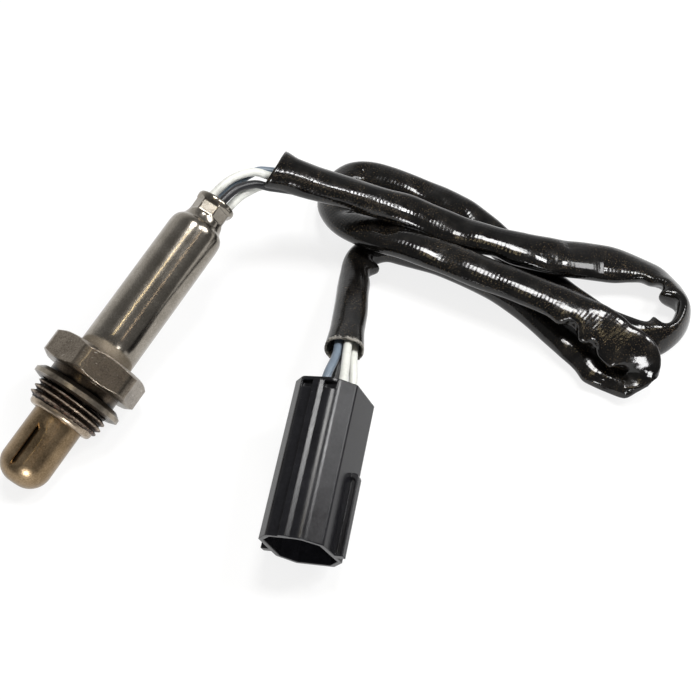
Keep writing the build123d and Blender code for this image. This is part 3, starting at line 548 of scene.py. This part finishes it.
finishSet = {
    "tubeSteel": {
        "colors": ((0.35, (0.205, 0.184, 0.155)), (0.52, (0.295, 0.268, 0.23)), (0.66, (0.42, 0.387, 0.34))),
        "roughness": (0.17, 0.24), "metallic": 1.0, "grain": 3800, "patches": 220, "patchShare": 0.35,
        "bump": (0.012, 0.00003), "brushed": 0.5,
    },
    "shieldSteel": {
        "colors": ((0.3, (0.115, 0.078, 0.042)), (0.5, (0.235, 0.168, 0.098)), (0.68, (0.36, 0.265, 0.165))),
        "roughness": (0.27, 0.36), "metallic": 1.0, "grain": 2600, "patches": 160, "patchShare": 0.5,
        "bump": (0.012, 0.00003),
    },
    "innerSteel": {
        "colors": ((0.3, (0.38, 0.37, 0.35)), (0.7, (0.58, 0.57, 0.54))),
        "roughness": (0.3, 0.42), "metallic": 1.0, "grain": 2500, "patches": 200, "patchShare": 0.4,
        "bump": (0.2, 0.00003),
    },
    "contactNickel": {
        "colors": ((0.3, (0.55, 0.52, 0.46)), (0.7, (0.72, 0.69, 0.62))),
        "roughness": (0.22, 0.36), "metallic": 1.0, "grain": 3000, "patches": 400, "patchShare": 0.4,
        "bump": (0.15, 0.00003),
    },
    "zirconiaBody": {
        "colors": ((0.3, (0.62, 0.60, 0.55)), (0.7, (0.78, 0.77, 0.72))),
        "roughness": (0.5, 0.7), "grain": 3500, "patches": 150, "patchShare": 0.4, "bump": (0.3, 0.00004),
    },
    "aluminaBody": {
        "colors": ((0.3, (0.68, 0.66, 0.60)), (0.7, (0.82, 0.81, 0.76))),
        "roughness": (0.45, 0.62), "grain": 3500, "patches": 180, "patchShare": 0.4, "bump": (0.25, 0.00004),
    },
    "pressedTalc": {
        "colors": ((0.3, (0.50, 0.49, 0.45)), (0.7, (0.70, 0.69, 0.65))),
        "roughness": (0.8, 0.95), "grain": 2500, "patches": 300, "patchShare": 0.4, "bump": (0.5, 0.00008),
    },
    "grommetRubber": {
        "colors": ((0.3, (0.018, 0.018, 0.018)), (0.7, (0.035, 0.034, 0.032))),
        "roughness": (0.5, 0.68), "grain": 3000, "patches": 300, "patchShare": 0.4, "bump": (0.35, 0.00005),
    },
    "sealRubber": {
        "colors": ((0.3, (0.20, 0.05, 0.035)), (0.7, (0.30, 0.08, 0.05))),
        "roughness": (0.45, 0.6), "grain": 3000, "patches": 300, "patchShare": 0.4, "bump": (0.3, 0.00005),
    },
    "housingBlack": {
        "colors": ((0.3, (0.0055, 0.0055, 0.0065)), (0.6, (0.011, 0.011, 0.013)),
                   (0.75, (0.018, 0.018, 0.021))),
        "roughness": (0.17, 0.25), "grain": 1500, "patches": 260, "patchShare": 0.5, "bump": (0.07, 0.00004),
        "edge": 0.0004, "specks": (1400, 0.75, 0.79, (0.05, 0.05, 0.056)), "specular": 0.19,
    },
    "lockBlack": {
        "colors": ((0.3, (0.012, 0.012, 0.012)), (0.7, (0.025, 0.025, 0.025))),
        "roughness": (0.42, 0.58), "grain": 1800, "patches": 300, "patchShare": 0.4, "bump": (0.3, 0.00005),
    },
    "pinTin": {
        "colors": ((0.3, (0.56, 0.54, 0.50)), (0.7, (0.74, 0.72, 0.67))),
        "roughness": (0.24, 0.38), "metallic": 1.0, "grain": 3000, "patches": 350, "patchShare": 0.4,
        "bump": (0.15, 0.00003),
    },
}
finishes = {name: makeFinish(name, look) for name, look in finishSet.items()}


# sensor body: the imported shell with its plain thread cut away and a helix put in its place

sensorSet = {"tilt": 14.612, "seat": (-12.354, 0.0, 11.594)}
sensorTilt = math.radians(sensorSet["tilt"])
sensorAxis = Vector((math.cos(sensorTilt), 0, math.sin(sensorTilt)))
sensorTop = Vector((-math.sin(sensorTilt), 0, math.cos(sensorTilt)))
sensorSide = sensorAxis.cross(sensorTop)
sensorSeat = Vector(sensorSet["seat"])


def sensorPoint(station, radius, turn):  # mm and radians from the top, as a place in metres
    out = sensorTop * math.cos(turn) + sensorSide * math.sin(turn)
    return (sensorSeat + sensorAxis * station + out * radius) / 1000


def sensorPlace(point):  # station, radius and turn of a place
    offset = Vector(point) * 1000 - sensorSeat
    up, side = offset.dot(sensorTop), offset.dot(sensorSide)
    return offset.dot(sensorAxis), math.hypot(up, side), math.atan2(side, up)


threadSet = {
    "start": -4.8, "end": -9.2, "pitch": 1.5,
    "major": 9.0, "root": 8.06, "chamfer": 0.7, "startRadius": 8.0, "endRadius": 7.9,
    "around": 160, "grit": 0.05, "gritScale": 1800, "fineGrit": 0.6, "fineGritScale": 5000,
    "cutRadius": 7.7, "cutRoom": 0.01, "sharpAngle": 28, "uvSize": (0.057, 0.006),
    # heights across one pitch, from root to crest and back
    "profile": ((0.0, 0.0), (0.06, 0.02), (0.12, 0.16), (0.26, 0.55), (0.39, 0.92), (0.44, 1.0),
                (0.50, 1.0), (0.56, 1.0), (0.61, 0.92), (0.74, 0.55), (0.88, 0.16), (0.94, 0.02)),
}


def makeThread(settings):
    profile, pitch = settings["profile"], settings["pitch"]
    turns = math.ceil((settings["start"] - settings["end"]) / pitch) + 1
    rows = turns * len(profile)

    def placeOf(u, v):
        row = round(v * rows)
        part, height = profile[row % len(profile)]
        station = settings["start"] + pitch - pitch * (row // len(profile) + part) - pitch * u
        station = min(settings["start"], max(settings["end"], station))
        radius = settings["root"] + (settings["major"] - settings["root"]) * height
        edge = min(settings["start"] - station, station - settings["end"])
        radius = min(radius, settings["major"] - settings["chamfer"] + edge)
        angle = 2 * math.pi * u
        place = sensorPoint(station, radius, angle)
        fineGrit = settings["fineGrit"] * settings["grit"] * noise.noise(place * settings["fineGritScale"])
        radius += settings["grit"] * noise.noise(place * settings["gritScale"]) + fineGrit
        if station >= settings["start"]:
            radius = settings["startRadius"]
        if station <= settings["end"]:
            radius = settings["endRadius"]
        return sensorPoint(station, radius, angle)

    return gridMesh("thread", settings["around"], rows, placeOf, settings["uvSize"])


def cadCopy(name):  # a copy of a node's mesh with its loose triangles joined
    mesh = bmesh.new()
    mesh.from_mesh(nodes[name].data)
    bmesh.ops.remove_doubles(mesh, verts=mesh.verts, dist=2e-6)
    return mesh


def makeShell(settings):
    mesh = cadCopy("sensor_shell")
    for station in (settings["start"], settings["end"]):
        bmesh.ops.bisect_plane(
            mesh, geom=mesh.verts[:] + mesh.edges[:] + mesh.faces[:], dist=1e-6,
            plane_co=sensorPoint(station, 0, 0), plane_no=sensorAxis)
    cut, room = [], settings["cutRoom"]
    for face in mesh.faces:
        station, radius, turn = sensorPlace(face.calc_center_median())
        if settings["end"] - room < station < settings["start"] + room and radius > settings["cutRadius"]:
            cut.append(face)
    bmesh.ops.delete(mesh, geom=cut, context="FACES")
    thread = makeThread(settings)
    mesh.from_mesh(thread)
    bpy.data.meshes.remove(thread)
    for face in mesh.faces:
        face.smooth = True
    for edge in mesh.edges:
        edge.smooth = edge.calc_face_angle(0) < math.radians(settings["sharpAngle"])
    return finishMesh(mesh, "threadedShell")


def bandMask(tree, value, low, high, soft):  # 1 where the value lies between low and high
    above = rangeNode(tree, value, low - soft, low + soft, 0, 1)
    return mathNode(tree, "MULTIPLY", above, rangeNode(tree, value, high - soft, high + soft, 1, 0))


def sensorValues(tree):  # a point's station and radius on the sensor, in mm
    texture = tree.nodes.new("ShaderNodeTexCoord")
    offset = tree.nodes.new("ShaderNodeVectorMath")
    offset.operation = "SUBTRACT"
    offset.inputs[1].default_value = sensorSeat / 1000
    tree.links.new(texture.outputs["Object"], offset.inputs[0])
    values = []
    for operation, output in (("DOT_PRODUCT", "Value"), ("CROSS_PRODUCT", "Vector")):
        node = tree.nodes.new("ShaderNodeVectorMath")
        node.operation = operation
        tree.links.new(offset.outputs["Vector"], node.inputs[0])
        node.inputs[1].default_value = sensorAxis
        values.append(node.outputs[output])
    size = tree.nodes.new("ShaderNodeVectorMath")
    size.operation = "LENGTH"
    tree.links.new(values[1], size.inputs[0])
    return [mathNode(tree, "MULTIPLY", value, 1000) for value in (values[0], size.outputs["Value"])]


shellLook = {
    "hex": ((0.32, (0.085, 0.068, 0.052)), (0.47, (0.185, 0.157, 0.125)), (0.62, (0.28, 0.245, 0.20)),
            (0.74, (0.48, 0.43, 0.36))),
    # neck: the neck's own brown, darkened with painted shade under the hexagon
    "neck": ((0.30, (0.018, 0.014, 0.010)), (0.50, (0.075, 0.058, 0.042)), (0.70, (0.15, 0.12, 0.09))),
    "thread": ((0.38, (0.006, 0.005, 0.004)), (0.48, (0.055, 0.042, 0.033)), (0.57, (0.16, 0.12, 0.092)),
               (0.66, (0.16, 0.052, 0.034))),
    "collar": ((0.30, (0.16, 0.125, 0.09)), (0.52, (0.38, 0.31, 0.235)), (0.70, (0.56, 0.47, 0.37))),
    # crestHighlight is a painted highlight on the thread crests
    "scratch": (0.80, 0.75, 0.66), "crestHighlight": (0.42, 0.345, 0.27),
    # creaseShade is painted shade, used in the thread roots and in the gap between the neck and the gasket
    "creaseShade": (0.004, 0.0035, 0.003), "faced": (0.66, 0.62, 0.56),
    # stations in mm: a band's low and high end and how softly it fades
    "neckBand": (-4.7, -0.02, 0.04), "collarBand": (-20, -9.35, 0.08), "threadBand": (-9.35, -4.75, 0.06),
    "creaseShadeBand": (-3.4, -1.5, 0.3), "facedFrom": (6.61, 6.65), "wander": (0.3, 0.7, -0.25, 0.25),
    # radii in mm, and how strongly the color shows there
    "crestHighlightRadii": (8.66, 8.95, 0, 0.85), "rootShadeRadii": (8.12, 8.45, 0.85, 0),
    "fineScale": 2600, "broadScale": 330, "crumbScale": 1500, "fineShare": 0.65, "broadShare": 0.35,
    "scratchScale": 520, "scratchStretch": (1, 5, 1.6), "scratchTurn": (0.4, 0.2, 0.9),
    "scratchRange": (0.68, 0.72, 0, 0.8), "crestHighlightRange": (0.42, 0.58, 0, 1),
    "facedColor": 0.85, "facedRoughness": 0.35,
    "roughness": (0.35, 0.65, 0.36, 0.26), "threadRoughness": (0.4, 0.6, 0.30, 0.08),
    "fineHeight": 0.35, "crumbHeight": 3.0, "bump": (0.30, 0.00006, 0.0003),
}


def makeShellSteel(look):
    material, tree, shader = newMaterial("shellSteel", look["hex"][1][1], 0.35, metallic=1.0)
    station, radius = sensorValues(tree)
    fine = noiseNode(tree, coords(tree), look["fineScale"], 5, 0.65)
    broad = noiseNode(tree, coords(tree), look["broadScale"], 4, 0.6)
    mixed = blendOf(tree, fine, look["fineShare"], broad, look["broadShare"])
    wander = mathNode(tree, "ADD", station, rangeNode(tree, broad, *look["wander"]))
    color = ramp(tree, mixed, look["hex"])
    scratchCoords = coords(tree, look["scratchStretch"], look["scratchTurn"])
    ticks = noiseNode(tree, scratchCoords, look["scratchScale"], 3, 0.55)
    color = mixColor(tree, rangeNode(tree, ticks, *look["scratchRange"]), color, look["scratch"])
    faced = rangeNode(tree, station, *look["facedFrom"], 0, look["facedColor"])  # behind the hexagon
    color = mixColor(tree, faced, color, look["faced"])
    # the neck under the hexagon: its own brown darkened with painted shade
    neck = bandMask(tree, station, *look["neckBand"])
    color = mixColor(tree, neck, color, ramp(tree, mixed, look["neck"]))
    collar = bandMask(tree, wander, *look["collarBand"])
    color = mixColor(tree, collar, color, ramp(tree, mixed, look["collar"]))
    crumbs = noiseNode(tree, coords(tree), look["crumbScale"], 5, 0.7)
    thread = bandMask(tree, wander, *look["threadBand"])
    threadColor = ramp(tree, crumbs, look["thread"])
    # thread crests lightened with a painted highlight, broken up by the broad noise
    crestHighlight = rangeNode(tree, radius, *look["crestHighlightRadii"])
    crestHighlight = mathNode(tree, "MULTIPLY", crestHighlight, rangeNode(tree, broad, *look["crestHighlightRange"]))
    threadColor = mixColor(tree, crestHighlight, threadColor, look["crestHighlight"])
    # thread roots darkened with painted shade
    root = rangeNode(tree, radius, *look["rootShadeRadii"])
    threadColor = mixColor(tree, root, threadColor, look["creaseShade"])
    color = mixColor(tree, thread, color, threadColor)
    # painted shade in the gap between the neck and the gasket
    creaseShade = bandMask(tree, wander, *look["creaseShadeBand"])
    color = mixColor(tree, creaseShade, color, look["creaseShade"])
    tree.links.new(color, shader.inputs["Base Color"])
    rough = rangeNode(tree, mixed, *look["roughness"])
    gritty = mathNode(tree, "MULTIPLY", thread, rangeNode(tree, crumbs, *look["threadRoughness"]))
    rough = mathNode(tree, "ADD", rough, gritty)
    turned = rangeNode(tree, station, *look["facedFrom"], 0, look["facedRoughness"])
    rough = mathNode(tree, "ADD", rough, turned)
    tree.links.new(rough, shader.inputs["Roughness"])
    height = mathNode(tree, "MULTIPLY", fine, look["fineHeight"])
    crumbled = mathNode(tree, "MULTIPLY", crumbs, mathNode(tree, "MULTIPLY", thread, look["crumbHeight"]))
    addBump(tree, shader, mathNode(tree, "ADD", height, crumbled), *look["bump"])
    return material


shell = addPiece("threadedShell", makeShell(threadSet), makeShellSteel(shellLook))
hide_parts("sensor_shell")
print("shell and thread made")


# crush gasket's own finish, with painted shade in its corner with the neck and a painted highlight round its
# rim

gasketLook = {
    "body": ((0.32, (0.03, 0.024, 0.018)), (0.5, (0.09, 0.074, 0.058)), (0.68, (0.19, 0.16, 0.125))),
    # rim is a painted highlight round the rim; corner is painted shade in the corner with the neck
    "rim": (0.30, 0.262, 0.21), "corner": (0.006, 0.005, 0.004),
    "rimRadii": (10.62, 10.9, 0, 1), "cornerRadii": (8.9, 9.9, 1, 0), "rimHighlightRange": (0.38, 0.55, 0.35, 1),
    "fineScale": 2000, "broadScale": 380, "roughness": (0.35, 0.65, 0.42, 0.26), "bump": (0.35, 0.00008),
}


def makeGasketSteel(look):
    material, tree, shader = newMaterial("gasketSteel", look["body"][1][1], 0.34, metallic=1.0)
    station, radius = sensorValues(tree)
    fine = noiseNode(tree, coords(tree), look["fineScale"], 5, 0.65)
    broad = noiseNode(tree, coords(tree), look["broadScale"], 4, 0.6)
    mixed = blendOf(tree, fine, 0.5, broad, 0.5)
    color = ramp(tree, mixed, look["body"])
    # a painted highlight round the rim, patchy by the broad noise
    rimHighlightMask = rangeNode(tree, radius, *look["rimRadii"])
    rimHighlightMask = mathNode(tree, "MULTIPLY", rimHighlightMask, rangeNode(tree, broad, *look["rimHighlightRange"]))
    color = mixColor(tree, rimHighlightMask, color, look["rim"])
    # painted shade in the corner with the neck
    color = mixColor(tree, rangeNode(tree, radius, *look["cornerRadii"]), color, look["corner"])
    tree.links.new(color, shader.inputs["Base Color"])
    tree.links.new(rangeNode(tree, mixed, *look["roughness"]), shader.inputs["Roughness"])
    addBump(tree, shader, mixed, *look["bump"])
    return material


# rear tube, drawn in to a neck that is crimped all round

tubeSet = {
    # radius and station of the wall, out along the tube, round the rim and back inside
    "outer": (
        (6.68, 6.65), (6.68, 12.0), (6.68, 41.3), (6.66, 42.3), (6.58, 43.1), (6.40, 43.8),
        (6.10, 44.4), (5.70, 44.85), (5.28, 45.2), (4.98, 45.65), (4.74, 46.2), (4.55, 46.9),
        (4.44, 47.7), (4.42, 48.5), (4.48, 49.3), (4.60, 50.1), (4.76, 50.9), (4.84, 51.4),
        (4.80, 51.8), (4.62, 52.05),
    ),
    "inner": ((4.3, 52.1), (3.95, 52.02), (3.8, 51.7), (3.8, 44.6), (6.18, 43.4), (6.18, 12.0), (6.18, 6.65)),
    "around": 196, "step": 0.16, "straightEnd": 40.0, "straightRows": (18, 24, 30, 36),
    "dents": 7, "dentTurn": 12.0, "dentFloor": 4.04, "dentMiddle": 48.95, "dentHalf": 1.35,
    "dentSlope": 1.05, "innerRadius": 4.0, "uvSize": (0.042, 0.1),
}


def smoothProfile(points, step):  # points along a run of (radius, station) rows, its corners eased
    line = splineLine("profile", [Vector((radius, station, 0)) for radius, station in points], 12)
    return [(place.x, place.y) for place in evenLine(line, step)]


def makeTube(settings):
    split = [point for point in settings["outer"] if point[1] > settings["straightEnd"]]
    profile = [settings["outer"][0], settings["outer"][1]]
    profile += [(split[0][0], station) for station in settings["straightRows"]]
    profile += smoothProfile(split, settings["step"]) + list(settings["inner"]) + [settings["outer"][0]]
    last = len(profile) - 1

    def placeOf(u, v):
        radius, station = profile[round(v * last)]
        angle = 2 * math.pi * u
        if radius > settings["innerRadius"]:  # the dents stop short of the bore
            pitch = 2 * math.pi / settings["dents"]
            apart = (angle - math.radians(settings["dentTurn"]) + pitch / 2) % pitch - pitch / 2
            past = max(0, abs(station - settings["dentMiddle"]) - settings["dentHalf"])
            radius = min(radius, (settings["dentFloor"] + past * settings["dentSlope"]) / math.cos(apart))
        return sensorPoint(station, radius, angle)

    return gridMesh("crimpedTube", settings["around"], last, placeOf, settings["uvSize"])


tube = addPiece("crimpedTube", makeTube(tubeSet), finishes["tubeSteel"])
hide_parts("rear_tube")
print("rear tube made")


# outer shield: a cup with three flaps pressed in beside their slits

shieldSet = {
    "radius": 6.0, "endRadius": 5.0, "tip": -27.3, "wall": 0.4, "top": -9.1,
    "flange": ((5.6, -9.15), (7.02, -9.15), (7.02, -9.9), (5.6, -9.9)),
    "slits": 3, "slitTurn": -4.5, "spread": 28.0, "start": -13.2, "end": -24.9, "drop": 0.95,
    "startRamp": 2.0, "endRamp": 2.0, "cornering": 3.2,
    "step": 0.28, "flapColumns": 16, "wallColumns": 26, "flapReach": 1.15, "tipRows": 30, "tipRing": 0.5,
    "gapSlope": 0.12, "flangeAround": 72, "sharpAngle": 40,
    "uvSize": (0.038, 0.026), "flangeUv": (0.04, 0.004),
}


def shieldRadius(station, settings):
    past = max(settings["tip"] + settings["endRadius"] - station, 0)
    flat = settings["radius"] - settings["endRadius"]
    return flat + math.sqrt(max(settings["endRadius"] ** 2 - past ** 2, 0))


def pressDepth(station, turn, settings):  # how far a flap is pressed in at a station and a turn from its slit
    part = (settings["start"] - station) / (settings["start"] - settings["end"])
    if not 0 < part < 1:
        return 0.0
    cornering = settings["cornering"]
    reach = settings["spread"] * (1 - abs(2 * part - 1) ** cornering) ** (1 / cornering)
    if turn >= reach:
        return 0.0
    startPart = (settings["start"] - station) / settings["startRamp"]
    ramped = min(startPart, (station - settings["end"]) / settings["endRamp"], 1)
    ramped = ramped * ramped * (3 - 2 * ramped)
    return settings["drop"] * ramped * (1 - turn / reach)


def makeShield(settings):
    # turns round the cup; each slit has two columns, its wall's edge and its flap's edge
    pitch = 360 / settings["slits"]
    flap = settings["spread"] * settings["flapReach"]
    flapColumns, wallColumns = settings["flapColumns"], settings["wallColumns"]
    turns = []
    for number in range(settings["slits"]):
        start = number * pitch
        turns += [(start, False)]
        turns += [(start + flap * n / flapColumns, True) for n in range(flapColumns + 1)]
        turns += [(start + flap + (pitch - flap) * n / wallColumns, True) for n in range(1, wallColumns)]
    turns.append((360, False))
    tip, endRadius = settings["tip"], settings["endRadius"]
    straightRows = 1 + int((settings["top"] - tip - endRadius) / settings["step"])
    stations = [settings["top"] - n * settings["step"] for n in range(straightRows)]
    for n in range(1, settings["tipRows"] + 1):
        angle = math.pi / 2 * n / settings["tipRows"]
        stations.append(tip + endRadius - endRadius * math.sin(angle))
    rows = [(shieldRadius(station, settings), station) for station in stations]
    rows += [(settings["tipRing"], tip), (0.0, tip)]
    last, around = len(rows) - 1, len(turns) - 1

    def placeOf(u, v):
        radius, station = rows[round(v * last)]
        turn, pressed = turns[round(u * around)]
        if pressed and radius > 1:
            radius -= pressDepth(station, turn % pitch, settings)
        return sensorPoint(station, radius, math.radians(turn + settings["slitTurn"]))

    sheet = gridMesh("shieldSheet", around, last, placeOf, settings["uvSize"])
    mesh = bmesh.new()
    mesh.from_mesh(sheet)
    bpy.data.meshes.remove(sheet)
    gaps = []
    for face in mesh.faces:
        station, radius, turn = sensorPlace(face.calc_center_median())
        out = sensorTop * math.cos(turn) + sensorSide * math.sin(turn)
        slanted = abs(face.normal.dot(out)) < settings["gapSlope"] and radius > 3
        if slanted and settings["end"] < station < settings["start"]:
            gaps.append(face)
    bmesh.ops.delete(mesh, geom=gaps, context="FACES")
    bmesh.ops.recalc_face_normals(mesh, faces=mesh.faces)
    bmesh.ops.solidify(mesh, geom=mesh.faces[:], thickness=settings["wall"] / 1000)
    flange = settings["flange"] + settings["flange"][:1]

    def ringPlace(u, v):
        radius, station = flange[round(v * (len(flange) - 1))]
        return sensorPoint(station, radius, 2 * math.pi * u)

    ring = gridMesh("flange", settings["flangeAround"], len(flange) - 1, ringPlace, settings["flangeUv"])
    mesh.from_mesh(ring)
    bpy.data.meshes.remove(ring)
    for edge in mesh.edges:
        edge.smooth = edge.calc_face_angle(0) < math.radians(settings["sharpAngle"])
    return finishMesh(mesh, "louvredShield")


shield = addPiece("louvredShield", makeShield(shieldSet), finishes["shieldSteel"])
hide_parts("outer_shield")
print("outer shield made")


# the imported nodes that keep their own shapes

finishes["gasketSteel"] = makeGasketSteel(gasketLook)
finishNodes = {
    "shieldSteel": ("inner_shield",),
    "gasketSteel": ("gasket",),
    "innerSteel": ("seat_ring", "packing_ring", "spacer_tube", "disc_spring"),
    "contactNickel": ("centre_contact", "outer_contact") + tuple("terminal_" + name for name in wireNames),
    "zirconiaBody": ("sensing_thimble",),
    "aluminaBody": ("heater_rod", "ceramic_bush", "contact_holder"),
    "pressedTalc": ("powder_seal",),
    "grommetRubber": ("grommet",),
    "sealRubber": tuple("wire_seal_" + name for name in wireNames),
    "housingBlack": ("connector_housing",),
    "lockBlack": ("pin_lock",),
    "pinTin": tuple("pin_" + name for name in wireNames),
}
for finishName, nodeNames in finishNodes.items():
    for nodeName in nodeNames:
        for materialSlot in nodes[nodeName].material_slots:
            materialSlot.material = finishes[finishName]
print("finishes given to the packed nodes")


# floor, lamps and world

stageSet = {
    "floorSize": 6.0,
    "floorColor": (0.97, 0.97, 0.97),
    "floorBounce": (0.55, 0.55, 0.55), "floorGlow": 0.8,
    "middle": (0.03, -0.05, 0.01), "away": 0.8,
    "skyWay": (0.4, 0.75, -0.5), "sky": ((0.36, 0.17), (0.58, 0.26), (0.88, 0.85)),
    "lamps": (  # name, way to it, size along x, size across, watts, color
        ("front", (-0.795, -0.537, 0.284), 0.22, 0.22, 4.0, (1, 1, 1)),
        ("right", (0.595, -0.540, 0.587), 0.28, 0.28, 2.7, (1, 1, 1)),
        ("top", (0.26, 0.05, 0.964), 0.21, 0.21, 4.0, (1, 1, 1)),
        ("side", (0.39, -0.38, 0.82), 0.11, 0.11, 1.9, (1, 1, 1)),
        ("strip", (0.0, 0.0, 1.0), 0.5, 0.018, 0.34, (1, 0.80, 0.45)),
        ("thinStrip", (0.04, -0.616, 0.787), 0.5, 0.012, 0.12, (1, 0.78, 0.55)),
    ),
}


def makeSky(settings):  # pale low down behind the part, dim overhead and in front
    world = bpy.data.worlds.new("studio")
    bpy.context.scene.world = world
    world.use_nodes = True
    tree = world.node_tree
    texture = tree.nodes.new("ShaderNodeTexCoord")
    toward = tree.nodes.new("ShaderNodeVectorMath")
    toward.operation = "DOT_PRODUCT"
    tree.links.new(texture.outputs["Generated"], toward.inputs[0])
    toward.inputs[1].default_value = Vector(settings["skyWay"]).normalized()
    share = rangeNode(tree, toward.outputs["Value"], -1, 1, 0, 1)
    sky = ramp(tree, share, [(place, (level,) * 3) for place, level in settings["sky"]], "EASE")
    background = tree.nodes["Background"]
    background.inputs["Strength"].default_value = 1.0
    tree.links.new(sky, background.inputs["Color"])


def makeStage(settings):
    mesh = bmesh.new()
    bmesh.ops.create_grid(mesh, x_segments=1, y_segments=1, size=settings["floorSize"] / 2)
    floor = bpy.data.objects.new("floor", finishMesh(mesh, "floor", smooth=False))
    bpy.context.scene.collection.objects.link(floor)
    material, tree, shader = newMaterial("paleFloor", settings["floorColor"], 1.0, specular=0.0)
    light = tree.nodes.new("ShaderNodeLightPath")
    seen = mathNode(tree, "MAXIMUM", light.outputs["Is Camera Ray"], light.outputs["Is Glossy Ray"])
    seen = mathNode(tree, "MAXIMUM", seen, light.outputs["Is Transmission Ray"])
    color = mixColor(tree, seen, settings["floorBounce"], settings["floorColor"])
    tree.links.new(color, shader.inputs["Base Color"])
    glow = tree.nodes.new("ShaderNodeEmission")
    glow.inputs["Color"].default_value = (1, 1, 1, 1)
    blend = tree.nodes.new("ShaderNodeMixShader")
    tree.links.new(mathNode(tree, "MULTIPLY", seen, settings["floorGlow"]), blend.inputs["Fac"])
    tree.links.new(shader.outputs["BSDF"], blend.inputs[1])
    tree.links.new(glow.outputs["Emission"], blend.inputs[2])
    tree.links.new(blend.outputs["Shader"], tree.nodes["Material Output"].inputs["Surface"])
    floor.data.materials.append(material)
    middle = Vector(settings["middle"])
    for name, way, width, height, watts, color in settings["lamps"]:
        data = bpy.data.lights.new(name, "AREA")
        data.shape, data.size, data.size_y, data.energy = "RECTANGLE", width, height, watts
        data.color = color
        lamp = bpy.data.objects.new(name, data)
        lamp.location = middle + Vector(way).normalized() * settings["away"]
        lamp.rotation_euler = Vector(way).to_track_quat("Z", "Y").to_euler()
        bpy.context.scene.collection.objects.link(lamp)


makeSky(stageSet)
makeStage(stageSet)
print("floor and lamps placed")
